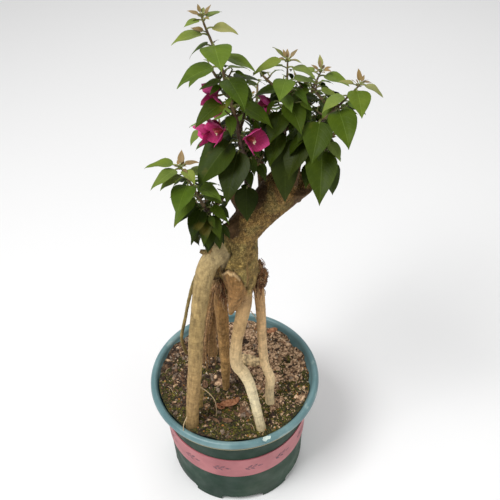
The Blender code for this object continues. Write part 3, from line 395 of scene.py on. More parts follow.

# Wood: the tone of each limb from its top to its foot, as sRGB; the roots' darker tones by the trunk are
# partly their bark's own colour and partly painted shade
WOOD_TONES = {
    "trunk": [(170, 148, 90), (158, 128, 76), (132, 100, 58)],
    "callus": [(140, 106, 64), (152, 114, 70), (170, 132, 86)],
    "flank": [(146, 122, 72), (136, 108, 62), (118, 88, 50)],
    "old_stub": [(140, 112, 74), (120, 92, 60)],
    "fibres": [(138, 98, 62), (122, 84, 52)],
    "root_left_front": [(172, 156, 120), (172, 150, 106), (164, 140, 94), (174, 144, 98), (150, 122, 80)],
    "root_right_front": [(168, 134, 94), (190, 158, 112), (214, 190, 148), (232, 218, 180),
                         (196, 174, 132)],
    "root_right_back": [(172, 134, 92), (204, 166, 120), (224, 196, 152), (234, 214, 172)],
    "root_centre": [(144, 108, 66), (158, 122, 76), (168, 132, 84), (164, 134, 88)],
    "root_back_broad": [(158, 122, 82), (176, 140, 98), (184, 150, 104)],
    "root_back_thin": [(182, 152, 106), (190, 160, 110), (178, 148, 100)],
    "root_far_left": [(140, 122, 76), (150, 132, 84), (158, 140, 94)],
    "root_left_small": [(180, 156, 102), (160, 134, 84)],
    "bough": [(94, 72, 44), (82, 58, 38)],
}
# How mottled and cracked each limb's bark is
ROUGHNESS = {"trunk": 1.0, "flank": 0.9, "old_stub": 1.0, "callus": 0.6, "fibres": 1.0, "root_centre": 0.7,
             "root_back_broad": 0.75, "root_left_front": 0.45, "root_right_front": 0.25,
             "root_right_back": 0.35}
USUAL_ROUGHNESS = 0.6
FLAKE_TONE = (224, 192, 144)
DEAD_ROOT_TONES = [("dark", (96, 60, 36)), ("rust", (160, 108, 68)), ("pale", (206, 168, 122)),
                   ("rootlet", (176, 136, 90)), ("low", (222, 194, 146))]

# Where the trunk's bark ends over the callus, the crease beside the left root, the hollow below; all three
# are darkened with painted shade
BARK_EDGE = [(-5, -31, 331), (0, -37, 339), (6, -42, 342), (11, -44.5, 337), (14.5, -44.5, 329),
             (17, -37, 314)]
BARK_CREASE = [(2, -34, 364), (3.6, -36, 357), (-1.4, -34, 344), (-5, -31, 331)]
HOLLOW_SHADE_PLACE = (-9, -19, 304)
HOLLOW_SHADE_REACH = 17

# Outlines of a leaf and a bract: share of the length, fullness; and the columns across a blade
LEAF_OUTLINE = [(0, 0.12), (0.04, 0.56), (0.10, 0.82), (0.20, 0.98), (0.31, 1.02), (0.43, 0.94), (0.55, 0.79),
                (0.67, 0.58), (0.78, 0.36), (0.88, 0.17), (0.95, 0.06)]
BRACT_OUTLINE = [(0, 0.2), (0.07, 0.66), (0.17, 0.90), (0.30, 1.0), (0.45, 1.0), (0.60, 0.88), (0.74, 0.66),
                 (0.86, 0.38), (0.95, 0.14)]
COLUMNS = [-1, -0.68, -0.34, 0, 0.34, 0.68, 1]
LEAF_TONES = [(38, 48, 2), (44, 58, 3), (56, 72, 8), (70, 90, 19), (88, 108, 35), (109, 125, 56),
              (131, 133, 80), (139, 118, 82)]
BRACT_TONES = [(168, 18, 88), (188, 28, 106), (206, 50, 128)]


def linear(tone):
    """Scene-linear colour of an sRGB tone."""
    return tuple((c / 255 / 12.92) if c <= 10 else ((c / 255 + 0.055) / 1.055) ** 2.4 for c in tone)


class Paint:
    """A procedural material, built node by node round its own shader."""

    def __init__(self, name, roughness, tone=(128, 128, 128)):
        self.material = bpy.data.materials.new(name)
        self.material.use_nodes = True
        self.tree = self.material.node_tree
        self.shader = self.tree.nodes["Principled BSDF"]
        self.set("Roughness", roughness)
        self.set("Base Color", (*linear(tone), 1))
        self.place = self.node("TexCoord").outputs["Object"]

    def link(self, value, socket):
        if isinstance(value, bpy.types.NodeSocket):
            self.tree.links.new(value, socket)
        elif isinstance(value, tuple) and len(value) == 3 and socket.type == "RGBA":
            socket.default_value = (*value, 1)
        else:
            socket.default_value = value

    def set(self, name, value):
        self.link(value, self.shader.inputs[name])

    def node(self, kind, inputs=None, **settings):
        made = self.tree.nodes.new("ShaderNode" + kind)
        for key, value in settings.items():
            setattr(made, key, value)
        for key, value in (inputs or {}).items():
            self.link(value, made.inputs[key])
        return made

    def noise(self, scale, detail, place=None):
        inputs = {"Vector": place or self.place, "Scale": scale, "Detail": detail}
        return self.node("TexNoise", inputs).outputs["Fac"]

    def stretched(self, x, y, z):
        return self.node("Mapping", {"Vector": self.place, "Scale": (x, y, z)}).outputs["Vector"]

    def ramp(self, value, stops):
        made = self.node("ValToRGB", {"Fac": value})
        elements = made.color_ramp.elements
        elements.remove(elements[1])
        elements[0].position = stops[0][0]
        elements[0].color = (*stops[0][1], 1)
        for position, colour in stops[1:]:
            elements.new(position).color = (*colour, 1)
        return made.outputs["Color"]

    def tones(self, value, stops):
        """Ramp whose stops are given as sRGB tones."""
        return self.ramp(value, [(position, linear(tone)) for position, tone in stops])

    def fade(self, value, low, high):
        """0 below the low value and 1 above the high one."""
        return self.node("MapRange", {"Value": value, "From Min": low, "From Max": high}).outputs["Result"]

    def fade_out(self, value, low, high):
        """1 below the low value and 0 above the high one."""
        return self.math("SUBTRACT", 1.0, self.fade(value, low, high))

    def mix(self, factor, first, second, blend="MIX"):
        made = self.node("Mix", {0: factor, 6: first, 7: second}, data_type="RGBA", blend_type=blend)
        return made.outputs[2]

    def math(self, operation, first, second=0.0):
        return self.node("Math", {0: first, 1: second}, operation=operation).outputs["Value"]

    def times(self, first, second):
        return self.math("MULTIPLY", first, second)

    def stain(self, base, mask, amount, tone):
        """The base with so much of an sRGB tone laid over it where the mask is 1."""
        return self.mix(self.times(mask, amount), base, linear(tone))

    def skin(self, scale, detail, distance, strength):
        self.bump(self.noise(scale, detail), distance, strength)

    def bump(self, height, distance, strength):
        made = self.node("Bump", {"Height": height, "Distance": distance, "Strength": strength})
        links = self.shader.inputs["Normal"].links
        if links:
            self.tree.links.new(links[0].from_socket, made.inputs["Normal"])
        self.set("Normal", made.outputs["Normal"])


def speckled(name, roughness, scale, detail, stops, skin=None):
    """Paint whose tone follows a noise, with a bumpy skin where one is given."""
    paint = Paint(name, roughness)
    paint.set("Base Color", paint.tones(paint.noise(scale, detail), stops))
    if skin:
        paint.skin(*skin)
    return paint


class Pile:
    """Many small shapes of one kind, gathered into one mesh with a material for each tone."""

    def __init__(self):
        self.verts = []
        self.faces = []
        self.slots = []
        self.corners = []

    def add(self, verts, faces, slot=0, uvs=None):
        start = len(self.verts)
        self.verts += [tuple(vert * MM) for vert in verts]
        for face in faces:
            self.faces.append(tuple(start + index for index in face))
            self.slots.append(slot)
            self.corners += [uvs[index] if uvs else (0, 0) for index in face]

    def piece(self, name, paints, replaced, slot, smooth=True):
        mesh = bpy.data.meshes.new(name)
        mesh.from_pydata(self.verts, [], self.faces)
        for paint in paints:
            mesh.materials.append(paint.material)
        mesh.polygons.foreach_set("material_index", self.slots)
        layer = mesh.uv_layers.new(name="Blade")
        layer.data.foreach_set("uv", [value for corner in self.corners for value in corner])
        if smooth:
            mesh.shade_smooth()
        return placed(name, mesh, replaced)


def placed(name, mesh, replaced):
    """The mesh as a piece of the plant that stands for the named solids."""
    piece = bpy.data.objects.new(name, mesh)
    bpy.context.scene.collection.objects.link(piece)
    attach(piece, "root")
    if replaced:
        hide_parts(*replaced)
    return piece


def applied(obj, name):
    """Mesh of the object with its modifiers, in place of the object."""
    bpy.context.view_layer.update()
    mesh = bpy.data.meshes.new_from_object(obj.evaluated_get(bpy.context.evaluated_depsgraph_get()))
    mesh.name = name
    bpy.data.objects.remove(obj, do_unlink=True)
    return mesh


def plain_object(name, mesh):
    obj = bpy.data.objects.new(name, mesh)
    bpy.context.scene.collection.objects.link(obj)
    return obj


def smooth_route(points, steps):
    """Catmull-Rom curve through the points, with so many steps in each stretch."""
    points = [Vector(p) for p in points]
    ends = [2 * points[0] - points[1]] + points + [2 * points[-1] - points[-2]]
    curve = []
    for a, b, c, d in zip(ends, ends[1:], ends[2:], ends[3:]):
        for step in range(steps):
            t = step / steps
            curve.append(0.5 * (2 * b + (c - a) * t + (2 * a - 5 * b + 4 * c - d) * t * t
                                + (3 * b - a - 3 * c + d) * t ** 3))
    curve.append(points[-1])
    return curve


def between(first, second, part, whole):
    """Value that lies so many parts of the whole on the way from the first to the second."""
    return first + (second - first) * part / whole


def even_widths(first, last, count):
    return [between(first, last, index, count - 1) for index in range(count)]


def smooth_radii(radii, steps):
    values = []
    for first, second in zip(radii, radii[1:]):
        values += [between(first, second, step, steps) for step in range(steps)]
    return values + [radii[-1]]


def random_vector(draw, *limits):
    return Vector([draw(*limits) for _ in range(3)])


def ring_quads(rows, sides):
    """Faces between the rings of a tube, row by row."""
    quads = []
    for row in range(rows):
        low = row * sides
        for corner in range(sides):
            following = (corner + 1) % sides
            quads.append((low + corner, low + following, low + sides + following, low + sides + corner))
    return quads


def tube_shape(points, radii, sides):
    """Vertices and faces of a closed tube whose rings keep their turn."""
    verts = []
    side = None
    for index, (point, radius) in enumerate(zip(points, radii)):
        along = (points[min(index + 1, len(points) - 1)] - points[max(index - 1, 0)]).normalized()
        side = side or along.orthogonal()
        side = (side - along * side.dot(along)).normalized()
        over = along.cross(side)
        for corner in range(sides):
            turn = math.tau * corner / sides
            verts.append(point + (side * math.cos(turn) + over * math.sin(turn)) * radius)
    faces = ring_quads(len(points) - 1, sides)
    faces.append(tuple(reversed(range(sides))))
    faces.append(tuple(range(len(verts) - sides, len(verts))))
    return verts, faces


# Pot and band

def pot_paints():
    wall = Paint("pot_wall", 0.42)
    tone = wall.tones(wall.noise(22, 5), [(0.3, (25, 50, 37)), (0.55, (34, 61, 47)), (0.8, (50, 79, 62))])
    dust = wall.fade(wall.noise(9, 6), 0.52, 0.75)
    wall.set("Base Color", wall.stain(tone, dust, 0.25, (92, 98, 76)))
    wall.set("Roughness", wall.fade(wall.noise(60, 5), -0.4, 1.3))
    wall.set("Specular IOR Level", 0.2)
    wall.skin(420, 3, 0.0002, 0.35)

    rim = Paint("pot_rim", 0.38)
    tone = rim.tones(rim.noise(30, 5), [(0.3, (80, 114, 118)), (0.55, (102, 136, 140)),
                                        (0.85, (146, 174, 174))])
    scuff = rim.fade(rim.noise(55, 6, rim.stretched(1, 1, 3)), 0.62, 0.72)
    rim.set("Base Color", rim.stain(tone, scuff, 0.5, (176, 196, 190)))
    rim.skin(260, 4, 0.0002, 0.5)

    # Pale tan line along the skirt's step: painted highlight
    skirt_highlight = Paint("pot_seam", 0.6, (176, 164, 124))
    torn = Paint("pot_torn", 0.8, (198, 214, 208))
    inside = speckled("pot_inside", 0.6, 70, 5, [(0.35, (40, 58, 50)), (0.7, (84, 104, 92))])
    return [wall, rim, skirt_highlight, torn, inside]


def wall_radius(z):
    return between(WALL_BASE_RADIUS, WALL_TOP_RADIUS, z, POT_HEIGHT - RIM_DEPTH)


def pot_profile():
    """Points of (radius, z) from the inside over the rolled rim and down to the base, with their paint."""
    rim_bottom = POT_HEIGHT - RIM_DEPTH
    middle = (RIM_RADIUS + RIM_INNER_RADIUS) / 2
    half = (RIM_RADIUS - RIM_INNER_RADIUS) / 2
    profile = [(0, FLOOR_TOP, INSIDE), (WALL_BASE_RADIUS - WALL_THICKNESS, FLOOR_TOP, INSIDE),
               (WALL_TOP_RADIUS - WALL_THICKNESS, rim_bottom, INSIDE)]
    for step in range(RIM_STEPS + 1):
        angle = math.pi * (1 - step / RIM_STEPS)
        height = POT_HEIGHT - RIM_ROLL_HEIGHT * (1 - math.sin(angle))
        profile.append((middle + half * math.cos(angle), height, RIM))
    profile += [(RIM_RADIUS - inward, POT_HEIGHT - drop, paint) for inward, drop, paint in SKIRT]
    wall_top = rim_bottom - SKIRT_END
    profile += [(RIM_LIP_RADIUS, rim_bottom, WALL), (WALL_TOP_RADIUS, wall_top, WALL)]
    for step in range(1, WALL_STEPS):
        z = wall_top * (1 - step / WALL_STEPS) + BASE_EDGE * step / WALL_STEPS
        profile.append((wall_radius(z), z, WALL))
    profile += [(WALL_BASE_RADIUS + BASE_FLARE, BASE_EDGE, WALL), (WALL_BASE_RADIUS - BASE_INSET, 0, WALL)]
    return profile + [(0, 0, WALL)]


def lathe(name, profile, steps, paints):
    """Closed mesh turned from (radius, z, paint) points that run over its outer side."""
    verts, faces, slots = [], [], []
    rows = []
    for radius, z, _ in profile:
        if radius == 0:
            rows.append([len(verts)] * steps)
            verts.append((0, 0, z))
            continue
        rows.append(range(len(verts), len(verts) + steps))
        for step in range(steps):
            turn = math.tau * step / steps
            verts.append((radius * math.cos(turn), radius * math.sin(turn), z))
    for row, (upper, lower) in enumerate(zip(rows, rows[1:])):
        for step in range(steps):
            following = (step + 1) % steps
            corners = [upper[step], lower[step], lower[following], upper[following]]
            faces.append([corner for index, corner in enumerate(corners) if corner != corners[index - 1]])
            slots.append(profile[row + 1][2])
    mesh = bpy.data.meshes.new(name)
    mesh.from_pydata(verts, [], faces)
    mesh.polygons.foreach_set("material_index", slots)
    for paint in paints:
        mesh.materials.append(paint.material)
    return mesh


def shade(mesh):
    mesh.shade_smooth()
    mesh.set_sharp_from_angle(angle=SHARP_EDGE)


def chip_rim(mesh):
    """Dents the rolled rim at its torn chip, on a finer mesh there."""
    chip = Vector((*RIM_CHIP, POT_HEIGHT))
    shell = bmesh.new()
    shell.from_mesh(mesh)
    for _ in range(2):
        round_chip = [edge for edge in shell.edges if (edge.verts[0].co - chip).length < RIM_CHIP_SIZE * 1.4]
        bmesh.ops.subdivide_edges(shell, edges=round_chip, cuts=1, use_grid_fill=True)
    shell.to_mesh(mesh)
    shell.free()
    for vert in mesh.vertices:
        near = (vert.co - chip).length + 0.0012 * noise.noise(vert.co * 900)
        if vert.co.z > POT_HEIGHT - 0.009 and near < RIM_CHIP_SIZE:
            depth = (1 - near / RIM_CHIP_SIZE) * (1 + 0.6 * noise.noise(vert.co * 420))
            vert.co.z -= RIM_CHIP_DEPTH * max(depth, 0) ** 0.6
            vert.co.xy *= 1 - 0.016 * depth
    outward = Vector((*RIM_CHIP, 0)).normalized()
    for face in mesh.polygons:
        off = face.center - chip
        torn = (off + outward * off.dot(outward) * 0.8).length + 0.0022 * noise.noise(face.center * 300)
        if face.material_index == RIM and torn < RIM_CHIP_SIZE * 0.86:
            face.material_index = TORN


def notched(pot):
    """The pot's mesh with the notches between its feet cut out."""
    cutters = bpy.data.collections.new("notches")
    bpy.context.scene.collection.children.link(cutters)
    pitch = math.tau / FOOT_COUNT
    depth = RIM_RADIUS - NOTCH_INNER_RADIUS
    width = 2 * WALL_BASE_RADIUS * math.sin((pitch - FOOT_ANGLE) / 2)
    for index in range(FOOT_COUNT):
        shell = bmesh.new()
        bmesh.ops.create_cube(shell, size=1)
        bmesh.ops.scale(shell, vec=(depth, width, NOTCH_HEIGHT * 2), verts=shell.verts)
        bmesh.ops.translate(shell, vec=(NOTCH_INNER_RADIUS + depth / 2, 0, 0), verts=shell.verts)
        turn = Matrix.Rotation(FIRST_FOOT_ANGLE + (index + 0.5) * pitch, 3, "Z")
        bmesh.ops.rotate(shell, cent=(0, 0, 0), matrix=turn, verts=shell.verts)
        bmesh.ops.bevel(shell, geom=shell.edges[:], offset=0.002, segments=3, affect="EDGES")
        notch_mesh = bpy.data.meshes.new("notch")
        shell.to_mesh(notch_mesh)
        shell.free()
        cutters.objects.link(bpy.data.objects.new("notch", notch_mesh))
    cut = pot.modifiers.new("Notches", "BOOLEAN")
    cut.operation = "DIFFERENCE"
    cut.operand_type = "COLLECTION"
    cut.collection = cutters
    cut.solver = "EXACT"
    mesh = applied(pot, "pot_body")
    for cutter in list(cutters.objects):
        bpy.data.objects.remove(cutter, do_unlink=True)
    bpy.data.collections.remove(cutters)
    return mesh


def make_pot():
    mesh = lathe("pot", pot_profile(), POT_STEPS, pot_paints())
    chip_rim(mesh)
    mesh = notched(plain_object("pot_whole", mesh))
    shade(mesh)
    placed("pot_body", mesh, ["pot"])


def band_radius(z):
    return wall_radius(z) + GAP + BAND_THICKNESS


def make_band():
    pink = Paint("band_pink", 0.5)
    tone = pink.tones(pink.noise(35, 5), [(0.3, (164, 92, 98)), (0.55, (184, 110, 114)),
                                          (0.8, (200, 130, 132))])
    grime = pink.fade(pink.noise(120, 6), 0.62, 0.8)
    pink.set("Base Color", pink.stain(tone, grime, 0.4, (176, 110, 112)))
    pink.skin(300, 3, 0.0002, 0.3)
    edge = Paint("band_edge", 0.55, (176, 98, 106))
    rows = [BAND_BOTTOM + (BAND_TOP - BAND_BOTTOM) * share for share in (0, 0.03, 0.97, 1)]
    profile = [(band_radius(BAND_TOP) - BAND_THICKNESS * BAND_TUCK, BAND_TOP, 0)]
    profile += [(band_radius(z), z, int(index < 2)) for index, z in enumerate(reversed(rows))]
    profile += [(band_radius(BAND_BOTTOM) - BAND_THICKNESS * BAND_TUCK, BAND_BOTTOM, 1)]
    mesh = lathe("band", profile, BAND_STEPS, [pink, edge])
    shade(mesh)
    placed("band_body", mesh, ["pot_band"])


def make_sprigs():
    """Plain leaf sprigs printed all round the band."""
    sprigs = Pile()
    middle = (BAND_BOTTOM + BAND_TOP) / 2
    for index in range(SPRIG_COUNT):
        turn = math.tau * index / SPRIG_COUNT
        for across, up, long, wide, lean in SPRIG:
            outline = []
            lean_turn = math.radians(lean)
            for step in range(SPRIG_CORNERS):
                angle = math.tau * step / SPRIG_CORNERS
                x = math.cos(angle) * long
                y = math.sin(angle) * wide * (1 - 0.35 * math.cos(angle))
                side = across + x * math.cos(lean_turn) - y * math.sin(lean_turn)
                z = middle + (up + x * math.sin(lean_turn) + y * math.cos(lean_turn)) * MM
                radius = band_radius(z) + SPRIG_LIFT
                angle_here = turn + side * MM / radius
                outline.append(Vector((math.cos(angle_here) * radius, math.sin(angle_here) * radius, z)) / MM)
            sprigs.add(outline, [tuple(range(SPRIG_CORNERS))])
    ink = speckled("band_print", 0.55, 300, 4, [(0.4, (92, 62, 72)), (0.6, (150, 92, 102))])
    sprigs.piece("band_sprigs", [ink], [], "band", smooth=False)


# Soil, with bark crumbs, moss and litter

def root_feet():
    """Where each root comes down to the soil, and its radius there, in metres."""
    feet = []
    for _, route, radii in ROOTS + [SIDE_ROOT]:
        points = smooth_route(route, CURVE_STEPS)
        for first, second, radius in zip(points, points[1:], smooth_radii(radii, CURVE_STEPS)):
            if second.z * MM < SOIL_TOP <= first.z * MM:
                foot = first.lerp(second, (first.z - SOIL_TOP / MM) / (first.z - second.z)) * MM
                feet.append((foot.x, foot.y, radius * MM))
    return feet


FEET = root_feet()


def soil_height(x, y):
    """Height of the soil in metres: its tilt and humps, small mounds at the roots and fine roughness."""
    swell = 0
    for length, heading, phase in SOIL_WAVES:
        across = x * math.cos(math.radians(heading)) + y * math.sin(math.radians(heading))
        swell += math.sin(math.tau * across / (length * MM) + phase) / len(SOIL_WAVES)
    mound = 0
    for foot_x, foot_y, radius in FEET:
        away = math.hypot(x - foot_x, y - foot_y) - radius
        swell *= min(max((away - FOOT_ROOM) / FOOT_FADE, 0), 1)
        mound = max(mound, 1 - max(away, 0) / FOOT_ROOM)
    lift = SOIL_HUMP * swell + MOUND_HEIGHT * mound * mound
    lift += 0.0011 * noise.noise(Vector((x, y, 0)) * 140)
    return SOIL_TOP + SOIL_SLOPE[0] * x + SOIL_SLOPE[1] * y + lift


def ground(x, y):
    """Height of the soil, all in millimetres."""
    return soil_height(x * MM, y * MM) / MM


def moss_share(x, y):
    """How much of the surface is moss there: most at the front and left."""
    lean = (-0.2 * x - y) / SOIL_REACH
    patches = 0.9 * noise.noise(Vector((x, y, 0)) * 42) + 0.55 * noise.noise(Vector((x, y, 3)) * 120)
    return lean * 0.7 + patches - 0.05


def pale_lit_share(x, y):
    """How dry and pale the surface is there, with the lit right side painted lighter as painted light: most
    at the right.
    """
    return (0.9 * x + 0.2 * y) / SOIL_REACH + 0.6 * noise.noise(Vector((x, y, 8)) * 60) - 0.12


def make_soil():
    rough = (700, 5, 0.0012, 0.9)
    paints = [speckled("soil_ground", 0.95, 260, 6, [(0.32, (28, 20, 13)), (0.5, (62, 46, 32)),
                                                     (0.72, (122, 98, 72))], rough),
              speckled("soil_moss", 0.9, 420, 5, [(0.3, (24, 21, 8)), (0.5, (54, 52, 15)),
                                                  (0.72, (110, 104, 36))], (900, 5, 0.001, 1.0)),
              # Pale soil: dry bark bits, lightened further as painted light on the lit right side
              speckled("soil_pale", 0.95, 260, 6, [(0.32, (62, 44, 32)), (0.5, (122, 96, 70)),
                                                   (0.72, (196, 164, 126))], rough)]
    verts = [Vector((0, 0, soil_height(0, 0))) / MM]
    for ring in range(1, SOIL_RINGS + 1):
        for spoke in range(SOIL_SPOKES):
            turn = math.tau * spoke / SOIL_SPOKES
            radius = SOIL_REACH * (ring / SOIL_RINGS) ** RING_BIAS
            x, y = radius * math.cos(turn), radius * math.sin(turn)
            grit = 0.0009 * noise.noise(Vector((x, y, 0)) * 420)
            grit += 0.0006 * noise.noise(Vector((x, y, 5)) * 1100)
            verts.append(Vector((x, y, soil_height(x, y) + grit)) / MM)
    faces = [(0, 1 + spoke, 1 + (spoke + 1) % SOIL_SPOKES) for spoke in range(SOIL_SPOKES)]
    faces += [(1 + a, 1 + d, 1 + c, 1 + b) for a, b, c, d in ring_quads(SOIL_RINGS - 1, SOIL_SPOKES)]
    surface = Pile()
    surface.add(verts, faces)
    for index, face in enumerate(faces):
        centre = sum((verts[corner] for corner in face), Vector()) * (MM / len(face))
        # The pale slot is dry soil whose lit right side is painted lighter as painted light
        pale_lit_slot = 2 if pale_lit_share(centre.x, centre.y) > 0 else 0
        surface.slots[index] = 1 if moss_share(centre.x, centre.y) > 0 else pale_lit_slot
    surface.piece("soil_surface", paints, ["soil"], "soil")


def crumb_shapes(rng):
    """Lumpy stones and bark bits of unit size to pick from."""
    shapes = []
    for detail in (1, 2):
        for _ in range(8):
            shell = bmesh.new()
            bmesh.ops.create_icosphere(shell, subdivisions=detail, radius=1)
            seed = random_vector(rng.uniform, 0, 50)
            for vert in shell.verts:
                vert.co *= 1 + 0.5 * noise.noise(vert.co * 1.2 + seed) + rng.uniform(-0.24, 0.24)
            verts = [vert.co.copy() for vert in shell.verts]
            faces = [tuple(vert.index for vert in face.verts) for face in shell.faces]
            shapes.append((verts, faces))
            shell.free()
    return shapes


def scattered(rng, reach):
    """Random place on a disc, spread evenly over it."""
    radius = reach * math.sqrt(rng.random())
    turn = rng.uniform(0, math.tau)
    return radius * math.cos(turn), radius * math.sin(turn)


def dry_bit(x, y, long, wide, turn, curl):
    """Thin curled leaf or flake that lies on the soil, as vertices and faces."""
    rows = 7
    middle = Vector((x, y, ground(x, y)))
    top = []
    for index in range(rows):
        share = index / (rows - 1) * 2 - 1
        half = wide * (1 - abs(share) ** 1.8) ** 0.5 + 0.2
        along = middle + direction(turn, 0) * share * long
        for part in (-1, -0.4, 0.4, 1):
            lift = curl * (part * part + 0.5 * share * share)
            lift += 0.8 * noise.noise(Vector((share * 2, part * 2, x)))
            top.append(along + direction(turn + 90, 0) * part * half + Vector((0, 0, 0.9 + lift)))
    count = len(top)
    faces = []
    for row in range(rows - 1):
        for column in range(3):
            low = row * 4 + column
            faces.append((low, low + 1, low + 5, low + 4))
            faces.append((count + low + 4, count + low + 5, count + low + 1, count + low))
    rim = [*range(4), *range(7, count, 4), *range(count - 2, count - 5, -1), *range(count - 8, 3, -4)]
    faces += [(second, first, count + first, count + second) for first, second in zip(rim, rim[1:] + rim[:1])]
    return top + [point - Vector((0, 0, 0.3)) for point in top], faces


def strand(start, heading, length, bow):
    points = []
    for step in range(FIBRE_STEPS + 1):
        share = step / FIBRE_STEPS
        side = direction(heading + 90, 0) * math.sin(math.pi * share) * bow
        points.append(start + direction(heading, 0) * length * share + side)
    return points


def make_crumbs(rng):
    """Bark crumbs, soil bits and perlite, with the dry leaf and flakes."""
    shapes = crumb_shapes(rng)
    half = len(shapes) // 2
    crumbs = Pile()
    for count, low, high, flat, slots, where in CRUMBS:
        for _ in range(count):
            x, y = scattered(rng, SOIL_REACH - high * MM)
            wet = moss_share(x, y) + rng.uniform(-0.25, 0.25)
            size = rng.uniform(low, high) * rng.uniform(0.7, 1)
            slot = rng.choice(slots)
            # Crumbs on the pale side turn tan: dry bark, lightened as painted light on the lit side
            if pale_lit_share(x, y) > 0:
                slot = TAN if slot in (BROWN, GREY) and rng.random() < 0.75 else slot
            elif slot == TAN and rng.random() < 0.5:
                slot = BROWN
            turn = rng.uniform(0, math.tau)
            spin = Matrix.Rotation(turn, 3, random_vector(rng.uniform, -1, 1).normalized())
            sides = rng.uniform(0.7, 1.7), rng.uniform(0.5, 1), flat * rng.uniform(0.6, 1.3)
            lay = Matrix.Rotation(rng.uniform(0, math.tau), 3, "Z")
            lay = lay @ Matrix.Rotation(rng.uniform(-0.7, 0.7), 3, "X")
            stretch = Matrix.Diagonal(sides)
            verts, faces = shapes[rng.randrange(half) + (half if size > 2 else 0)]
            if (where == "dry" and wet > 0) or (where == "moss" and wet < 0):
                continue
            centre = Vector((x, y, soil_height(x, y))) / MM + Vector((0, 0, size * flat * 0.3))
            crumbs.add([centre + lay @ (stretch @ (spin @ vert)) * size for vert in verts], faces, slot)
    for *bit, slot in DRY_BITS:
        crumbs.add(*dry_bit(*bit), slot)
    paints = [speckled("crumb_" + name, 0.9, 380, 5, [(0.35, low), (0.68, high)], (900, 4, 0.0006, 0.8))
              for name, (low, high) in CRUMB_TONES]
    crumbs.piece("soil_crumbs", paints, [], "soil", smooth=False)


def make_moss(rng):
    """Tufts of pointed moss blades."""
    moss = Pile()
    for _ in range(MOSS_TUFTS):
        middle = Vector((*scattered(rng, SOIL_REACH - 0.003), 0)) / MM
        spread = rng.uniform(0.8, 2.6)
        tone = rng.random() * 3.4
        if moss_share(middle.x * MM, middle.y * MM) < rng.uniform(-0.15, 0.2):
            continue
        for _ in range(int(10 + spread * 7)):
            heading = rng.uniform(0, 360)
            away = spread * math.sqrt(rng.random())
            place = middle + direction(heading, 0) * away
            root = place + Vector((0, 0, ground(place.x, place.y) - 0.2))
            height = rng.uniform(0.9, 2.1) * (1.25 - 0.5 * away / spread)
            side = direction(heading + 90, 0) * 0.24
            tip = root + direction(heading, rng.uniform(35, 85)) * height
            slot = min(max(int(tone + rng.uniform(-0.6, 1.2)), 0), len(MOSS_TONES) - 1)
            moss.add([root - side, root + side, root + direction(heading, 0) * 0.34, tip],
                     [(0, 1, 3), (1, 2, 3), (2, 0, 3)], slot)
    paints = [Paint("moss_" + name, 0.8, tone) for name, tone in MOSS_TONES]
    moss.piece("soil_moss_blades", paints, [], "soil", smooth=False)


def make_soil_fibres(rng):
    """Dry fibres over the soil, and hair roots that come down to it."""
    fibres = Pile()
    for _ in range(FIBRE_COUNT):
        start = Vector((*scattered(rng, FIBRE_REACH), 0)) / MM
        path = strand(start, rng.uniform(0, 360), rng.uniform(5, 15), rng.uniform(-3, 3))
        path = [point for point in path if point.length * MM < SOIL_REACH - 0.002]
        if len(path) < 3:
            continue
        for index, point in enumerate(path):
            point.z = ground(point.x, point.y) + 0.5 + 0.9 * math.sin(math.pi * index / FIBRE_STEPS)
        fibres.add(*tube_shape(path, [0.28] * len(path), 5), rng.randrange(2))
    for route, ends in HAIR_ROOTS:
        path = smooth_route(route, 6)
        fibres.add(*tube_shape(path, even_widths(*ends, len(path)), 6), 1)
    paints = [Paint("fibre_brown", 0.9, (118, 92, 66)), Paint("fibre_pale", 0.85, (196, 172, 134))]
    fibres.piece("soil_fibres", paints, [], "soil")


def make_litter():
    rng = random.Random("litter")
    make_crumbs(rng)
    make_moss(rng)
    make_soil_fibres(rng)


# Trunk, roots and boughs as one piece with the bark's relief

def make_wood():
    limbs = [("trunk", TRUNK_ROUTE, TRUNK_RADII), ("callus", CALLUS_ROUTE, CALLUS_RADII),
             ("flank", FLANK_ROUTE, FLANK_RADII), ("old_stub", OLD_STUB_ROUTE, OLD_STUB_RADII)]
    limbs += ROOTS + [SIDE_ROOT] + BOUGHS
    verts, faces = [], []
    spine = []
    for name, route, radii in limbs:
        points = smooth_route(route, LIMB_STEPS)
        widths = smooth_radii(radii, LIMB_STEPS)
        shape = tube_shape(points, widths, LIMB_SIDES)
        if name == "trunk":
            shape = chopped(*shape)
        start = len(verts)
        verts += shape[0]
        faces += [tuple(start + index for index in face) for face in shape[1]]
        travelled = 0.0
        for index, (point, width) in enumerate(zip(points, widths)):
            travelled += (point - points[index - 1]).length if index else 0
            along = (points[min(index + 1, len(points) - 1)] - points[max(index - 1, 0)]).normalized()
            spine.append(Sample(name, point, width, along, travelled, index / (len(points) - 1)))
    for x, y, z, radius in FIBRE_LUMPS:
        shell = bmesh.new()
        bmesh.ops.create_icosphere(shell, subdivisions=3, radius=radius)
        start = len(verts)
        verts += [vert.co + Vector((x, y, z)) for vert in shell.verts]
        faces += [tuple(start + vert.index for vert in face.verts) for face in shell.faces]
        shell.free()
        spine.append(Sample("fibres", Vector((x, y, z)), radius, Vector((0, 0, 1)), 0.0, 0.5))
    mesh = bpy.data.meshes.new("wood")
    mesh.from_pydata([vert * MM for vert in verts], [], faces)
    wood = plain_object("wood_whole", mesh)
    remesh = wood.modifiers.new("Remesh", "REMESH")
    remesh.mode = "VOXEL"
    remesh.voxel_size = WOOD_VOXEL
    smooth = wood.modifiers.new("Smooth", "SMOOTH")
    smooth.iterations = 3
    mesh = applied(wood, "wood")
    carve(mesh, spine)
    mesh.materials.append(wood_paint().material)
    mesh.shade_smooth()
    placed("wood", mesh, LIMBS)


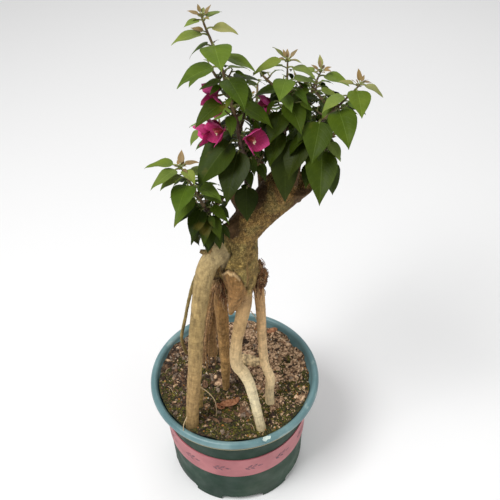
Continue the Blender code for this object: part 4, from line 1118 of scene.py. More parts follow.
def chopped(verts, faces):
    """The trunk's tube cut off along the slanting plane of the old chop."""
    shell = bmesh.new()
    made = [shell.verts.new(vert) for vert in verts]
    for face in faces:
        shell.faces.new([made[index] for index in face])
    geometry = shell.verts[:] + shell.edges[:] + shell.faces[:]
    cut = bmesh.ops.bisect_plane(shell, geom=geometry, plane_co=CHOP_POINT / MM, plane_no=CHOP_NORMAL,
                                 clear_outer=True)
    rim = [item for item in cut["geom_cut"] if isinstance(item, bmesh.types.BMEdge)]
    bmesh.ops.triangle_fill(shell, edges=rim, use_dissolve=False)
    bmesh.ops.recalc_face_normals(shell, faces=shell.faces)
    shell.verts.index_update()
    verts = [vert.co.copy() for vert in shell.verts]
    faces = [tuple(vert.index for vert in face.verts) for face in shell.faces]
    shell.free()
    return verts, faces


def line_distance(point, line):
    """Distance from the point to a line through several points, all in millimetres."""
    shortest = 1000.0
    for first, second in zip(line, line[1:]):
        first, second = Vector(first), Vector(second)
        along = second - first
        share = min(max((point - first).dot(along) / along.length_squared, 0), 1)
        shortest = min(shortest, (point - first - along * share).length)
    return shortest


def bark_edge(point):
    """How far the point of the trunk's front lies above the edge where its bark ends over the callus."""
    for first, second in zip(BARK_EDGE, BARK_EDGE[1:]):
        if first[0] <= point.x < second[0]:
            share = (point.x - first[0]) / (second[0] - first[0])
            return point.z - (first[2] + (second[2] - first[2]) * share)
    return None


def limb_tone(name, share):
    tones = [linear(tone) for tone in WOOD_TONES.get(name, WOOD_TONES["bough"])]
    place = share * (len(tones) - 1)
    index = min(int(place), len(tones) - 2)
    part = place - index
    return Vector(tones[index]).lerp(Vector(tones[index + 1]), part)


def carve(mesh, spine):
    """Moves the surface along its normals by the bark's relief, and gives each point its limb's tone, with
    painted shade in the bark's creases, along the bark's edge and crease, and in the hollow.
    """
    tree = KDTree(len(spine))
    for index, sample in enumerate(spine):
        tree.insert(sample.point, index)
    tree.balance()
    tones = [limb_tone(sample.limb, sample.share) for sample in spine]
    roughs = [ROUGHNESS.get(sample.limb, USUAL_ROUGHNESS) for sample in spine]
    colours = mesh.color_attributes.new(name="tone", type="FLOAT_COLOR", domain="POINT")
    normals = [vert.normal.copy() for vert in mesh.vertices]
    for vert, normal, colour in zip(mesh.vertices, normals, colours.data):
        point = vert.co / MM
        near = sorted((distance / spine[index].width, index) for _, index, distance in tree.find_n(point, 14))
        closest, nearest = near[0][0], spine[near[0][1]]
        out = point - nearest.point
        out = (out - nearest.along * out.dot(nearest.along)).normalized()
        lump_size, crease_size, grain_size = RELIEF.get(nearest.limb, RELIEF["root"])
        if nearest.limb in ("trunk", "flank", "old_stub"):
            ridges = noise.noise(Vector((point.x, point.y, point.z * 0.45)) / 2.4)
            crease = -abs(ridges) * crease_size - 0.35 * crease_size * abs(noise.noise(point / 1.3))
        else:
            travelled = nearest.travelled
            round_it = out * nearest.width
            ridges = noise.noise(Vector((round_it.x, round_it.y, travelled * 0.10 + 0.3 * out.z)) / 1.7)
            rings = noise.noise(Vector((out.x, out.y, travelled / 2.2)))
            rings += 0.8 * noise.noise(Vector((out.x * 2, out.y * 2, travelled / 0.9)))
            crease = -abs(ridges) * crease_size - max(rings - 0.25, 0) * crease_size
        lump = noise.noise(point / 11) * lump_size
        grain = noise.noise(point / 1.4) * grain_size
        fold, flake, above = 0.0, 0.0, None
        if 270 < point.z < 370 and -20 < point.x < 24 and point.y < -10:
            nearby = min(line_distance(point, line) for line in (BARK_EDGE, BARK_CREASE))
            fold = math.exp(-(nearby / 1.1) ** 2)
            above = bark_edge(point) if point.y < -27 else None
            if above is not None and point.x < 11.5:
                flake = math.exp(-((above + 2.4 + 0.8 * noise.noise(point / 2)) / 1.6) ** 2)
        vert.co += normal * (lump + crease + grain - 1.7 * fold + 1.1 * flake) * MM
        total, weight, rough = Vector((0, 0, 0)), 0.0, 0.0
        for ratio, index in near[:6]:
            pull = math.exp(-(ratio - closest) * 6)
            total += tones[index] * pull
            rough += roughs[index] * pull
            weight += pull
        tone, rough = total / weight, rough / weight
        if above is not None and nearest.limb in ("trunk", "callus", "flank"):
            kind = limb_tone("trunk", 0.1) if above > 0 else limb_tone("callus", min(-above / 50, 1))
            tone = kind.lerp(Vector(linear(FLAKE_TONE)), flake)
            rough = ROUGHNESS["trunk"] if above > 0 else ROUGHNESS["callus"]
        # Painted shade: darker along the bark's edge and crease, and in the hollow under the trunk
        hollow_shade = max(1 - (point - Vector(HOLLOW_SHADE_PLACE)).length / HOLLOW_SHADE_REACH, 0)
        tone *= (1 - 0.8 * fold) * (1 - 0.75 * hollow_shade)
        mottle = noise.noise(point / 9) + noise.noise(point / 2.6) + 0.6 * noise.noise(point / 1.3)
        # Painted shade: the tone darkens with the depth of each crease; the mottle is random
        tone *= 1.08 + 0.34 * rough * mottle + (0.3 + 0.4 * rough) * crease / crease_size
        colour.color = (*tone, rough)


def wood_paint():
    """Bark over the limbs' tones: fine grain, pale pores and dark cracks, most on the trunk."""
    paint = Paint("wood_bark", 0.8)
    limb = paint.node("Attribute", attribute_name="tone").outputs
    tone, rough = limb["Color"], limb["Alpha"]
    light = paint.ramp(paint.noise(210, 6), [(0.28, (0.46, 0.42, 0.36)), (0.5, (1.0, 1.0, 1.0)),
                                             (0.74, (1.6, 1.56, 1.44))])
    tone = paint.mix(paint.times(rough, 0.9), tone, light, "MULTIPLY")
    fine = paint.noise(560, 5, paint.stretched(1, 1, 0.2))
    grain = paint.ramp(fine, [(0.3, (0.6, 0.56, 0.5)), (0.7, (1.36, 1.34, 1.28))])
    tone = paint.mix(paint.times(rough, 0.8), tone, grain, "MULTIPLY")
    bands = paint.fade(paint.noise(300, 3, paint.stretched(0.3, 0.3, 2.2)), 0.56, 0.66)
    tone = paint.stain(tone, bands, 0.22, (96, 78, 46))
    pores = paint.fade(paint.noise(480, 2, paint.stretched(1, 1, 1.8)), 0.66, 0.72)
    tone = paint.stain(tone, pores, 0.35, (214, 196, 156))
    cracks = paint.fade(paint.noise(640, 4), 0.60, 0.68)
    tone = paint.stain(tone, cracks, paint.times(rough, 0.5), (52, 36, 20))
    stir = paint.node("TexNoise", {"Vector": paint.place, "Scale": 260.0}).outputs["Color"]
    stirred = paint.node("VectorMath", {0: stir, 1: (0.009, 0.009, 0.009), 2: paint.place},
                         operation="MULTIPLY_ADD")
    cells = paint.node("TexVoronoi", {"Vector": stirred.outputs[0], "Scale": 330.0},
                       feature="DISTANCE_TO_EDGE")
    shaggy = paint.fade(rough, 0.75, 0.95)
    net = paint.times(paint.fade_out(cells.outputs["Distance"], 0.0, 0.16), shaggy)
    tone = paint.stain(tone, net, 0.30, (70, 52, 30))
    lichen = paint.times(paint.fade(paint.noise(60, 6), 0.52, 0.62), shaggy)
    paint.set("Base Color", paint.stain(tone, lichen, 0.25, (156, 148, 88)))
    paint.set("Specular IOR Level", 0.2)
    paint.bump(paint.times(net, -1.0), 0.0012, 0.8)
    paint.skin(700, 6, 0.0010, 0.8)
    paint.bump(fine, 0.0008, 0.7)
    return paint


def make_fibres():
    """Thin dead roots: a tangled mass beside the trunk and wisps that hang in the hollow under it."""
    rng = random.Random("dead roots")
    hair = Pile()
    for *place, radius in FIBRE_LUMPS:
        middle = Vector(place)
        for _ in range(TANGLE_STRANDS):
            out = random_vector(rng.gauss, 0, 1).normalized()
            start = middle + out * radius * 0.9
            side = out.cross(random_vector(rng.gauss, 0, 1)).normalized()
            length = rng.uniform(2, 6)
            bow = out * rng.uniform(0.3, 1.8)
            end = start + side * length - Vector((0, 0, rng.uniform(0, 3)))
            end = middle + (end - middle).normalized() * radius * rng.uniform(0.9, 1.25)
            path = smooth_route([start, start.lerp(end, 0.5) + bow, end], 3)
            hair.add(*tube_shape(path, [rng.uniform(0.14, 0.34)] * len(path), 4), rng.randrange(3))
    for route, ends, tone in ROOTLETS:
        path = smooth_route(route, 6)
        widths = even_widths(*ends, len(path))
        widths = [width * (1 + 0.1 * math.sin(index * 1.7)) for index, width in enumerate(widths)]
        hair.add(*tube_shape(path, widths, 10), tone)
    for x, y, z, spread, count, low, high in HANGING_FIBRES:
        for _ in range(count):
            start = Vector((x, y, z)) + random_vector(rng.uniform, -spread, spread)
            sway = Vector((rng.uniform(-3, 3), rng.uniform(-2, 2), 0))
            length = rng.uniform(low, high)
            path = smooth_route([start, start + sway - Vector((0, 0, length * 0.5)),
                                 start + sway * rng.uniform(-0.6, 1.4) - Vector((0, 0, length))], 4)
            hair.add(*tube_shape(path, [rng.uniform(0.16, 0.34)] * len(path), 4), rng.randrange(3))
    paints = []
    for name, tone in DEAD_ROOT_TONES:
        dull = [value * 0.62 for value in tone]
        stops = [(0.36, dull), (0.6, tone)]
        paints.append(speckled("dead_root_" + name, 0.9, 260, 5, stops, (700, 4, 0.0004, 0.6)))
    hair.piece("wood_fibres", paints, [], "bark")


# Crown: the same rule as the solids grow by, then fine leaves, twigs and bracts on what it gives

def direction(heading, rise):
    """Unit vector with a compass heading from +X towards +Y and a rise, both in degrees."""
    h, r = math.radians(heading), math.radians(rise)
    return Vector((math.cos(h) * math.cos(r), math.sin(h) * math.cos(r), math.sin(r)))


def spans(points):
    return [(b - a).length for a, b in zip(points, points[1:])]


def point_along(points, share):
    lengths = spans(points)
    left = share * sum(lengths)
    for a, b, length in zip(points, points[1:], lengths):
        if left <= length:
            return a.lerp(b, left / length)
        left -= length
    return points[-1].copy()


def loft(sections, tip):
    """Closed solid through four-cornered sections and a tip, as vertices and faces."""
    verts = [corner for section in sections for corner in section] + [tip]
    faces = [(3, 2, 1, 0)] + ring_quads(len(sections) - 1, 4)
    last = 4 * (len(sections) - 1)
    for corner in range(4):
        faces.append((last + corner, last + (corner + 1) % 4, len(verts) - 1))
    return verts, faces


def section(point, along, up, half_width, half_thickness, fold):
    side = along.cross(up).normalized()
    over = side.cross(along).normalized()
    lift = half_width * math.tan(fold)
    return [point + side * half_width + over * lift, point + over * half_thickness,
            point - side * half_width + over * lift, point - over * half_thickness]


class Blade(namedtuple("Blade", "foot stalk_end aim up length ratio stations curl")):
    """A leaf or bract: where it stands, its aim and its size."""

    def solid(self, swell=0.0):
        """Plain solid of stalk and blade, for testing what it would touch."""
        along = (self.stalk_end - self.foot).normalized()
        stalk = STALK_RADIUS + swell
        sections = [section(self.foot, along, self.up, stalk, stalk, 0),
                    section(self.stalk_end, along, self.up, stalk, stalk, 0)]
        side = self.aim.cross(self.up).normalized()
        step_from = self.stalk_end
        share_from = 0.0
        half_thickness = self.length * LEAF_THICKNESS / 2 + swell
        for share, fullness in self.stations + [(1.0, 0.0)]:
            bend = math.radians(((share + share_from) / 2 - 0.5) * self.curl)
            along = Matrix.Rotation(-bend, 3, side) @ self.aim
            over = Matrix.Rotation(-bend, 3, side) @ self.up
            step_from = step_from + along * self.length * (share - share_from)
            share_from = share
            if fullness:
                half_width = self.length * self.ratio / 2 * fullness + swell
                sections.append(section(step_from, along, over, half_width, half_thickness, LEAF_FOLD))
        return loft(sections, step_from + along * swell)

    def fine(self, rng, outline, wave, tip_curl, fold=LEAF_FOLD):
        """Curved blade in its own outline: vertices, faces and flat coordinates across and along it."""
        side = self.aim.cross(self.up).normalized()
        phases = [rng.uniform(0, math.tau) for _ in range(2)]
        twist = math.radians(rng.uniform(-9, 9))
        verts, flat, faces = [], [], []
        place = self.stalk_end.copy()
        share_from = 0.0
        for share, fullness in outline + [(1.0, 0.0)]:
            middle = (share + share_from) / 2
            bend = math.radians((middle - 0.5) * self.curl + tip_curl * max(middle - 0.72, 0) / 0.28)
            turned = Matrix.Rotation(-bend, 3, side)
            along = turned @ self.aim
            place = place + along * self.length * (share - share_from)
            share_from = share
            if not fullness:
                verts.append(place)
                flat.append((0.5, 1.0))
                continue
            roll = Matrix.Rotation(twist * share, 3, along)
            over = roll @ (turned @ self.up)
            across = along.cross(over).normalized()
            half_width = self.length * self.ratio / 2 * fullness
            for column in COLUMNS:
                lift = half_width * math.tan(fold) * abs(column) ** 0.85 - half_width * 0.10 * column * column
                phase = phases[0 if column < 0 else 1]
                lift += wave * self.length * math.sin(share * 11 + phase) * column * column
                verts.append(place + across * half_width * column + over * lift)
                flat.append((0.5 + 0.5 * column * fullness, share))
        wide = len(COLUMNS)
        for row in range(len(outline) - 1):
            for column in range(wide - 1):
                low = row * wide + column
                faces.append((low, low + 1, low + wide + 1, low + wide))
        last = (len(outline) - 1) * wide
        for column in range(wide - 1):
            faces.append((last + column, last + column + 1, len(verts) - 1))
        return verts, faces, flat


def rod(first, second, radius):
    """Straight stretch of a twig or stalk with a pointed end, for testing what it would touch."""
    along = (second - first).normalized()
    up = Vector((0, 0, 1))
    ends = [section(point, along, up, radius, radius, 0) for point in (first, second)]
    return loft(ends, second + along * radius)


def bough_tip(shoot_name):
    """Middle of the end that a shoot stands on, and the way that end faces."""
    route = next(route for name, route, _ in BOUGHS if name == "bough_" + shoot_name)
    before, tip = smooth_route(route, CURVE_STEPS)[-2:]
    return tip, (tip - before).normalized()


def leaf_ratio(length):
    grown = min(max((length - YOUNG_LENGTH) / (GROWN_LENGTH - YOUNG_LENGTH), 0), 1)
    return YOUNG_RATIO + (LEAF_RATIO - YOUNG_RATIO) * grown


def leaf_blade(stem, leaf, droop, roll):
    rising = direction(leaf.heading, STALK_RISE)
    foot = point_along(stem, leaf.share) - rising * FOOT_DEPTH
    stalk_end = foot + rising * (FOOT_DEPTH + STALK_BASE + STALK_SHARE * leaf.length)
    droop += leaf.hang
    aim = direction(leaf.heading, -droop)
    up = Matrix.Rotation(math.radians(roll), 3, aim) @ direction(leaf.heading, 90 - droop)
    ratio = leaf.ratio or leaf_ratio(leaf.length)
    stations = SMALL_LEAF_STATIONS if leaf.length < SMALL_LEAF_LENGTH else LEAF_STATIONS
    if leaf.length < TINY_LEAF_LENGTH:
        stations = TINY_LEAF_STATIONS
    return Blade(foot, stalk_end, aim, up, leaf.length, ratio, stations, LEAF_CURL)


def blossom_blades(stem, blossom):
    foot = point_along(stem, blossom.share)
    axis = direction(blossom.heading, blossom.rise)
    centre = foot + axis * blossom.stalk
    across = axis.cross(Vector((0, 0, 1))).normalized()
    spread = math.radians(BRACT_SPREAD)
    blades = []
    for index in range(3):
        outward = Matrix.Rotation(math.tau * (index + 0.25) / 3, 3, axis) @ across
        aim = axis * math.cos(spread) + outward * math.sin(spread)
        up = axis * math.sin(spread) - outward * math.cos(spread)
        start = centre - aim * BRACT_DEPTH
        stalk_end = start + aim * BRACT_WAIST
        blades.append(Blade(start, stalk_end, aim, up, blossom.size, BRACT_RATIO, BRACT_STATIONS,
                            -BRACT_SPREAD))
    return foot, centre, axis, blades


class Grown:
    """What stands in the crown so far: one search tree and box for each solid, with its owner."""

    def __init__(self):
        self.solids = []

    def add(self, owner, verts, faces):
        low = Vector([min(v[i] for v in verts) for i in range(3)])
        high = Vector([max(v[i] for v in verts) for i in range(3)])
        self.solids.append((owner, low, high, BVHTree.FromPolygons(verts, faces)))

    def touches(self, verts, faces, ignore=()):
        low = [min(v[i] for v in verts) for i in range(3)]
        high = [max(v[i] for v in verts) for i in range(3)]
        tree = None
        for owner, other_low, other_high, other in self.solids:
            if owner in ignore:
                continue
            if any(low[i] > other_high[i] or high[i] < other_low[i] for i in range(3)):
                continue
            tree = tree or BVHTree.FromPolygons(verts, faces)
            if tree.overlap(other):
                return True
        return False


class Mass:
    """One shoot's stem, twigs, leaves and blossom."""

    def __init__(self, shoot):
        self.shoot = shoot
        self.name = "foliage_" + shoot.name
        self.own = (self.name, self.name + "_stem")
        self.rng = random.Random(shoot.name)
        self.look = random.Random(shoot.name + " looks")
        tip, along = bough_tip(shoot.name)
        self.route = [tip + along * STRAIGHT_START] + shoot.route
        self.start = tip + along * GAP / MM
        self.stem = [self.start] + smooth_route(self.route, CURVE_STEPS)
        low, high = [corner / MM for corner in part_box(self.name)]
        self.reach = (low + Vector((0, 0, (high.z - low.z) * HEM)), high)
        self.twigs = []
        self.fine = []
        self.leaves = []
        self.blossoms = []

    def droop(self, share):
        foot_droop, tip_droop = self.shoot.droop
        return tip_droop + (foot_droop - tip_droop) * (1 - share)

    def try_leaf(self, grown, stem, leaf, droop, roll, seeded=True, age=None, fenced=False):
        """Keeps the leaf unless it would touch a limb, another mass or, where seeded, its own mass."""
        blade = leaf_blade(stem, leaf, droop, roll)
        if fenced and not self.within(blade.solid()[0]):
            return
        if grown.touches(*blade.solid(TOUCH_MARGIN), ignore=self.own):
            return
        if seeded and grown.touches(*blade.solid(), ignore=self.own[1:]):
            return
        grown.add(self.name, *blade.solid(0))
        self.leaves.append((blade, leaf.share if age is None else age))

    def shown_leaves(self, grown):
        for leaf in (Leaf(*values) for values in self.shoot.leaves):
            roll = self.rng.uniform(-LEAF_ROLL, LEAF_ROLL)
            self.try_leaf(grown, self.stem, leaf, self.droop(leaf.share), roll, seeded=False)

    def shown_blossoms(self, grown):
        for blossom in (Blossom(*values) for values in self.shoot.blossoms):
            foot, centre, axis, blades = blossom_blades(self.stem, blossom)
            solids = [blade.solid(TOUCH_MARGIN) for blade in blades]
            solids.append(rod(foot, centre, BLOSSOM_KNOB + TOUCH_MARGIN))
            if any(grown.touches(*solid, ignore=self.own) for solid in solids):
                continue
            for blade in blades:
                grown.add(self.name, *blade.solid(0))
            grown.add(self.name, *rod(foot, centre, BLOSSOM_KNOB))
            self.blossoms.append((foot, centre, axis, blades, blossom.size))

    def turn(self, heading):
        if self.shoot.all_round:
            return heading
        return BACK_HEADING + (heading % 360 - 180) / 180 * BACK_SPREAD

    def fill_leaf(self, grown, stem, share, heading, age=None):
        size = FILL_OLD_LENGTH + (FILL_YOUNG_LENGTH - FILL_OLD_LENGTH) * share ** FILL_SHRINK
        leaf = Leaf(share, heading, size * self.rng.uniform(*FILL_LENGTHS))
        extra = 0 if self.shoot.all_round else BACK_DROOP
        sway = self.rng.uniform(-FILL_DROOP_SPREAD, FILL_DROOP_SPREAD)
        droop = min(self.droop(share) + extra + sway, DROOP_LIMIT)
        self.try_leaf(grown, stem, leaf, droop, self.rng.uniform(-LEAF_ROLL, LEAF_ROLL), age=age)

    def fill(self, grown):
        heading = self.rng.uniform(0, 360)
        count = int(sum(spans(self.stem)) / FILL_STEP)
        for index in range(count):
            heading += GOLDEN_ANGLE + self.rng.uniform(-FILL_SPREAD, FILL_SPREAD)
            share = FIRST_FILL + (1 - FIRST_FILL) * (index + 0.5) / count
            self.fill_leaf(grown, self.stem, share, self.turn(heading))

    def grow_twigs(self, grown):
        heading = self.rng.uniform(0, 360)
        for index in range(self.shoot.twigs):
            heading += GOLDEN_ANGLE + self.rng.uniform(-TWIG_SPREAD, TWIG_SPREAD)
            turn = self.turn(heading)
            rise = TWIG_RISE + self.rng.uniform(-TWIG_RISE_SPREAD, TWIG_RISE_SPREAD)
            length = TWIG_LENGTH * self.rng.uniform(*TWIG_LENGTHS)
            share = FIRST_TWIG + (LAST_TWIG - FIRST_TWIG) * index / max(self.shoot.twigs - 1, 1)
            foot = point_along(self.stem, share)
            bend = foot + direction(turn, rise - TWIG_LIFT) * length / 2
            path = [foot, bend, bend + direction(turn + TWIG_TURN, rise + TWIG_LIFT) * length / 2]
            rods = [rod(first, second, TWIG_ROOM) for first, second in zip(path, path[1:])]
            if any(grown.touches(*solid, ignore=self.own) for solid in rods):
                continue
            for solid in rods:
                grown.add(self.own[1], *solid)
            self.twigs.append(path)
            for leaf_share, side in TWIG_LEAVES:
                heading_here = turn + side + self.rng.uniform(-TWIG_LEAF_SPREAD, TWIG_LEAF_SPREAD)
                self.fill_leaf(grown, path, leaf_share, heading_here, age=share + 0.3 * leaf_share)

    def within(self, verts):
        """Whether all of it lies inside the space that the mass's solid takes up."""
        low, high = self.reach
        return all(low[i] <= vert[i] <= high[i] for vert in verts for i in range(3))

    def fine_twigs(self, grown):
        """Thin twigs that carry on from the stem and the twigs, with small leaves, where there is room."""
        carriers = [(self.stem, 1.0)] + [(path, 0.6) for path in self.twigs]
        for path, weight in carriers:
            heading = self.look.uniform(0, 360)
            for _ in range(int(sum(spans(path)) * weight / FINE_STEP)):
                heading += GOLDEN_ANGLE + self.look.uniform(-FINE_TURN, FINE_TURN)
                turn = self.turn(heading) if self.look.random() < 0.75 else heading
                share = self.look.uniform(0.04, 0.97)
                if path is self.stem and not self.shoot.all_round and share > BARE_FROM:
                    continue
                foot = point_along(path, share)
                rise = self.look.uniform(-5, 40)
                reach = self.look.uniform(*FINE_TWIG_LENGTHS) * (1 - 0.5 * share)
                middle = foot + direction(turn, rise) * reach * 0.5
                bent = turn + self.look.uniform(-FINE_TURN, FINE_TURN)
                end = middle + direction(bent, rise + 10) * reach * 0.5
                solid = rod(middle, end, FINE_ROOM)
                if not self.within([end]) or grown.touches(*solid, ignore=(self.name,)):
                    continue
                twig = [foot, middle, end]
                size = 23 - 11 * share if path is self.stem else 19 - 6 * share
                if self.small_leaves(grown, twig, turn, share, size):
                    self.fine.append(twig)
                    grown.add(self.name, *solid)

    def small_leaves(self, grown, twig, turn, share, size):
        """Puts leaves of about this size along a fine twig, and says whether any of them found room."""
        kept = len(self.leaves)
        for leaf_share, side in FINE_LEAVES:
            heading = turn + side + self.look.uniform(-20, 20)
            leaf = Leaf(leaf_share, heading, size * self.look.uniform(0.6, 1.1))
            droop = min(self.droop(share) + self.look.uniform(-10, 25), DROOP_LIMIT)
            roll = self.look.uniform(-20, 20)
            self.try_leaf(grown, twig, leaf, droop, roll, age=0.75 * share + 0.1, fenced=True)
        return len(self.leaves) > kept

    def tip_leaves(self, grown):
        """A tuft of folded young leaves round the growing tip."""
        heading = self.look.uniform(0, 360)
        for index in range(TIP_LEAVES):
            heading += GOLDEN_ANGLE
            length = self.look.uniform(*TIP_LENGTHS)
            leaf = Leaf(1.0 - 0.004 * index, heading, length, 0.45, -self.look.uniform(5, 60))
            blade = leaf_blade(self.stem, leaf, 5, self.look.uniform(-30, 30))
            if not grown.touches(*blade.solid(TOUCH_MARGIN), ignore=self.own):
                self.leaves.append((blade, 1.25))

    def axil_leaves(self, grown):
        """Small leaves in the angles of the shown ones, where there is room."""
        for blade, age in list(self.leaves):
            if blade.length < AXIL_GROWN or self.look.random() > AXIL_SHARE:
                continue
            share = min(age + 0.012, 1)
            length = self.look.uniform(*AXIL_LENGTHS)
            heading = math.degrees(math.atan2(blade.aim.y, blade.aim.x)) + self.look.uniform(-50, 50)
            leaf = Leaf(share, heading, length, 0.5)
            if age <= 1 and (blade.foot - point_along(self.stem, min(age, 1))).length < 2:
                droop = self.look.uniform(-45, 5)
                self.try_leaf(grown, self.stem, leaf, droop, self.look.uniform(-20, 20), age=age + 0.2)

    def draw(self, leaves, stems, bracts, hearts):
        fine = [self.start] + smooth_route(self.route, 8)
        count = len(fine)
        widths = [width * (1 + 0.07 * math.sin(index * 2.1))
                  for index, width in enumerate(even_widths(*self.shoot.radii, count))]
        widths = [width * (1 - SLIMMER * math.sqrt(index / (count - 1)))
                  for index, width in enumerate(widths)]
        cut = int(count * 0.45)
        stems.add(*tube_shape(fine[:cut + 1], widths[:cut + 1], 10), 0)
        stems.add(*tube_shape(fine[cut:], widths[cut:], 10), 1)
        for path in self.twigs:
            stems.add(*tube_shape(smooth_route(path, 4), smooth_radii(TWIG_RADII, 4), 8), 1)
        for path in self.fine:
            stems.add(*tube_shape(smooth_route(path, 3), smooth_radii(FINE_RADII, 3), 6), 1)
        for blade, age in self.leaves:
            tip_curl = self.look.uniform(2, 26)
            wave = self.look.uniform(0.006, 0.02)
            verts, faces, flat = blade.fine(self.look, LEAF_OUTLINE, wave, tip_curl)
            young = 1 - min(blade.length / 40, 1)
            tone = (0.5 * age + 0.5 * young * min(age, 1) + self.look.uniform(-0.11, 0.11)) * len(LEAF_TONES)
            slot = min(max(int(tone), 0), len(LEAF_TONES) - (1 if age > 0.97 and blade.length < 14 else 2))
            leaves.add(verts, faces, slot, flat)
            thick = min(0.35 + 0.012 * blade.length, 0.75)
            middle = blade.foot.lerp(blade.stalk_end, 0.55) + Vector((0, 0, 0.03 * blade.length))
            sunk = blade.stalk_end + blade.aim * blade.length * 0.05
            path = smooth_route([blade.foot, middle, blade.stalk_end, sunk], 2)
            stems.add(*tube_shape(path, smooth_radii([thick * 1.25, thick, thick, thick * 0.5], 2), 6), 2)
        for foot, centre, axis, blades, size in self.blossoms:
            bow = foot.lerp(centre, 0.5) + Vector((0, 0, 1))
            widths = smooth_radii(BLOSSOM_STALK_RADII, 4)
            stems.add(*tube_shape(smooth_route([foot, bow, centre], 4), widths, 6), 2)
            for blade in blades:
                tip_curl = self.look.uniform(-10, 20)
                verts, faces, flat = blade.fine(self.look, BRACT_OUTLINE, 0.03, tip_curl, math.radians(10))
                bracts.add(verts, faces, self.look.randrange(len(BRACT_TONES)), flat)
            self.draw_heart(hearts, centre, axis, size)

    def draw_heart(self, hearts, centre, axis, size):
        """Three slim flower tubes inside the bracts, one of them open as a small pale star."""
        across = axis.cross(Vector((0, 0, 1))).normalized()
        for index in range(3):
            outward = Matrix.Rotation(math.tau * (index + 0.75) / 3, 3, axis) @ across
            length = size * self.look.uniform(0.42, 0.6)
            end = centre + axis * length + outward * length * 0.22
            path = smooth_route([centre, centre + axis * length * 0.5 + outward * length * 0.16, end], 4)
            hearts.add(*tube_shape(path, smooth_radii([0.5, 0.75, 0.85], 4), 8), 0)
            if index:
                continue
            for petal in range(5):
                lean = Matrix.Rotation(math.tau * petal / 5, 3, axis) @ outward
                tip = end + lean * 2.1 + axis * 0.5
                wide = axis.cross(lean).normalized() * 0.8
                hearts.add([end, end + lean * 1.1 + wide, tip, end + lean * 1.1 - wide], [(0, 1, 2, 3)], 1)


def blade_place(paint):
    """Distance from the midrib and share of the way to the tip, on a leaf or bract."""
    parts = paint.node("SeparateXYZ", {"Vector": paint.node("TexCoord").outputs["UV"]}).outputs
    return paint.math("ABSOLUTE", paint.math("SUBTRACT", parts["X"], 0.5)), parts["Y"]


def vein_lines(paint, slant, count, wobble, low):
    """Veins that slant from the midrib, bent a little by a noise."""
    ripple = paint.math("ADD", paint.times(slant, count), wobble)
    return paint.fade(paint.math("SINE", ripple), low, 1.0)


def leaf_paint(name, tone):
    """Leaf green with a faint net of veins, a paler midrib and a soft satin skin."""
    paint = Paint(name, 0.5)
    across, along = blade_place(paint)
    bow = paint.math("POWER", paint.times(across, 2.0), 1.6)
    slant = paint.math("SUBTRACT", along, paint.times(bow, 0.34))
    veins = vein_lines(paint, slant, 40.0, paint.times(paint.noise(90, 2), 1.6), 0.78)
    midrib = paint.fade_out(across, 0.006, 0.022)
    island = paint.node("NewGeometry").outputs["Random Per Island"]
    shades = paint.ramp(island, [(0.0, (0.72, 0.78, 0.72)), (0.35, (1.06, 1.0, 0.8)),
                                 (0.6, (0.94, 1.0, 1.1)), (1.0, (1.22, 1.14, 1.0))])
    base = paint.mix(1.0, linear(tone), shades, "MULTIPLY")
    clouds = paint.ramp(paint.noise(95, 5), [(0.28, (0.76, 0.80, 0.74)), (0.72, (1.22, 1.16, 1.12))])
    base = paint.mix(0.85, base, clouds, "MULTIPLY")
    pale = [min(int(c * 1.2 + 22), 255) for c in tone]
    base = paint.stain(base, veins, 0.07, pale)
    base = paint.stain(base, midrib, 0.3, pale)
    worn = paint.fade(paint.noise(38, 6), 0.66, 0.74)
    paint.set("Base Color", paint.stain(base, worn, 0.35, (132, 110, 44)))
    paint.set("Specular IOR Level", 0.13)
    paint.bump(paint.math("ADD", paint.times(veins, -0.3), paint.times(midrib, -1.0)), 0.0004, 0.5)
    paint.skin(600, 4, 0.0003, 0.5)
    return paint


def bract_paint(name, tone):
    """Papery magenta with a net of redder veins, and a foot darkened with painted shade."""
    paint = Paint(name, 0.62)
    across, along = blade_place(paint)
    slant = paint.math("SUBTRACT", along, paint.times(across, 1.3))
    veins = vein_lines(paint, slant, 30.0, paint.times(paint.noise(150, 3), 3.0), 0.72)
    lines = paint.math("MAXIMUM", veins, paint.fade_out(across, 0.006, 0.03))
    island = paint.node("NewGeometry").outputs["Random Per Island"]
    base = paint.mix(island, linear(tone), linear((tone[0] + 16, tone[1] + 16, tone[2] + 22)))
    # Painted shade: darker towards the foot, deep in the cup
    base = paint.stain(base, paint.fade_out(along, 0.0, 0.45), 0.7, (104, 14, 34))
    base = paint.stain(base, paint.fade(along, 0.6, 1.0), 0.5, (214, 70, 150))
    paint.set("Base Color", paint.stain(base, lines, 0.16, (214, 80, 110)))
    paint.bump(lines, 0.0004, 0.5)
    paint.skin(420, 4, 0.0005, 0.7)
    return paint


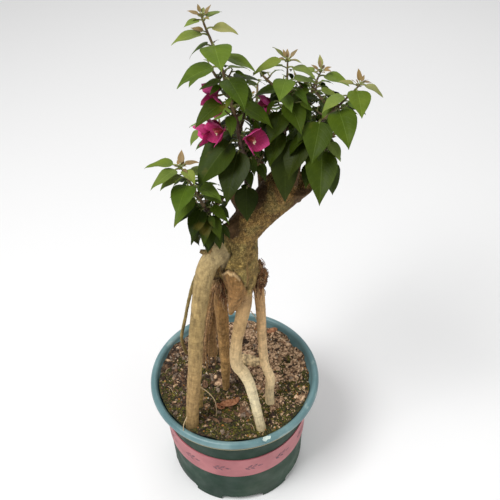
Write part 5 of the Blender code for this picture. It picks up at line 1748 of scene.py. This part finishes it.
def make_crown():
    grown = Grown()
    for name in LIMBS:
        mesh = frame["nodes"][name].data
        verts = [vert.co / MM for vert in mesh.vertices]
        grown.add(name, verts, [tuple(face.vertices) for face in mesh.polygons])
    masses = [Mass(shoot) for shoot in SHOOTS]
    for mass in masses:
        widths = even_widths(*mass.shoot.radii, len(mass.stem))
        grown.add(mass.own[1], *tube_shape(mass.stem, widths, STEM_SIDES))
    for grow in (Mass.shown_leaves, Mass.shown_blossoms, Mass.grow_twigs, Mass.fill, Mass.fine_twigs):
        for mass in masses:
            grow(mass, grown)
    for mass in masses:
        mass.axil_leaves(grown)
        mass.tip_leaves(grown)
    leaves, stems, bracts, hearts = Pile(), Pile(), Pile(), Pile()
    for mass in masses:
        mass.draw(leaves, stems, bracts, hearts)
    nodes = [mass.name for mass in masses]
    paints = [leaf_paint(f"leaf_tone_{index}", tone) for index, tone in enumerate(LEAF_TONES)]
    leaves.piece("leaves", paints, nodes, "leaf")
    stems.piece("stems", stem_paints(), nodes, "shoot_bark")
    paints = [bract_paint(f"bract_tone_{index}", tone) for index, tone in enumerate(BRACT_TONES)]
    bracts.piece("bracts", paints, nodes, "leaf")
    paints = [Paint("flower_tube", 0.6, (168, 84, 76)), Paint("flower_star", 0.6, (232, 214, 176))]
    hearts.piece("flowers", paints, nodes, "leaf")


def stem_paints():
    return [speckled(name, 0.6, 320, 5, [(0.35, low), (0.65, high)], (900, 4, 0.0004, 0.6))
            for name, low, high in (("stem_old", (58, 40, 28), (98, 70, 48)),
                                    ("stem_young", (84, 64, 42), (116, 98, 58)),
                                    ("leaf_stalk", (96, 104, 48), (134, 138, 76)))]


# Floor, light and camera

def area_light(name, place, size, power):
    lamp = bpy.data.lights.new(name, "AREA")
    lamp.size = size
    lamp.energy = power
    holder = bpy.data.objects.new(name, lamp)
    holder.location = place
    holder.rotation_euler = (Vector(LIGHT_TARGET) - Vector(place)).to_track_quat("-Z", "Y").to_euler()
    bpy.context.scene.collection.objects.link(holder)


def make_studio():
    shell = bmesh.new()
    bmesh.ops.create_grid(shell, x_segments=1, y_segments=1, size=FLOOR_SIZE)
    mesh = bpy.data.meshes.new("floor")
    shell.to_mesh(mesh)
    shell.free()
    mesh.materials.append(Paint("floor_pale", 0.9, (250, 250, 250)).material)
    floor = plain_object("floor", mesh)
    floor.location = (0, 0, -FLOOR_DROP)
    world = bpy.data.worlds.new("studio")
    world.use_nodes = True
    sky = world.node_tree.nodes["Background"].inputs
    sky["Color"].default_value = (1.0, 1.0, 1.0, 1)
    sky["Strength"].default_value = WORLD_STRENGTH
    bpy.context.scene.world = world
    for light in LIGHTS:
        area_light(*light)


def make_camera():
    pitch, roll = math.radians(CAMERA_PITCH), math.radians(CAMERA_ROLL)
    right = Vector((1, 0, 0))
    up = Vector((0, math.sin(pitch), math.cos(pitch)))
    forward = Vector((0, math.cos(pitch), -math.sin(pitch)))
    camera = bpy.data.objects.new("camera", bpy.data.cameras.new("camera"))
    camera.data.sensor_width = SENSOR_WIDTH
    camera.data.lens = CAMERA_LENS
    axes = Matrix((right * math.cos(roll) - up * math.sin(roll), right * math.sin(roll) + up * math.cos(roll),
                   -forward))
    camera.matrix_world = Matrix.Translation(CAMERA_PLACE) @ axes.transposed().to_4x4()
    bpy.context.scene.collection.objects.link(camera)
    bpy.context.scene.camera = camera


make_camera()
make_studio()
make_pot()
make_band()
make_sprigs()
make_soil()
make_litter()
make_wood()
make_fibres()
make_crown()
bpy.context.scene.view_settings.view_transform = "Standard"
bpy.context.view_layer.update()
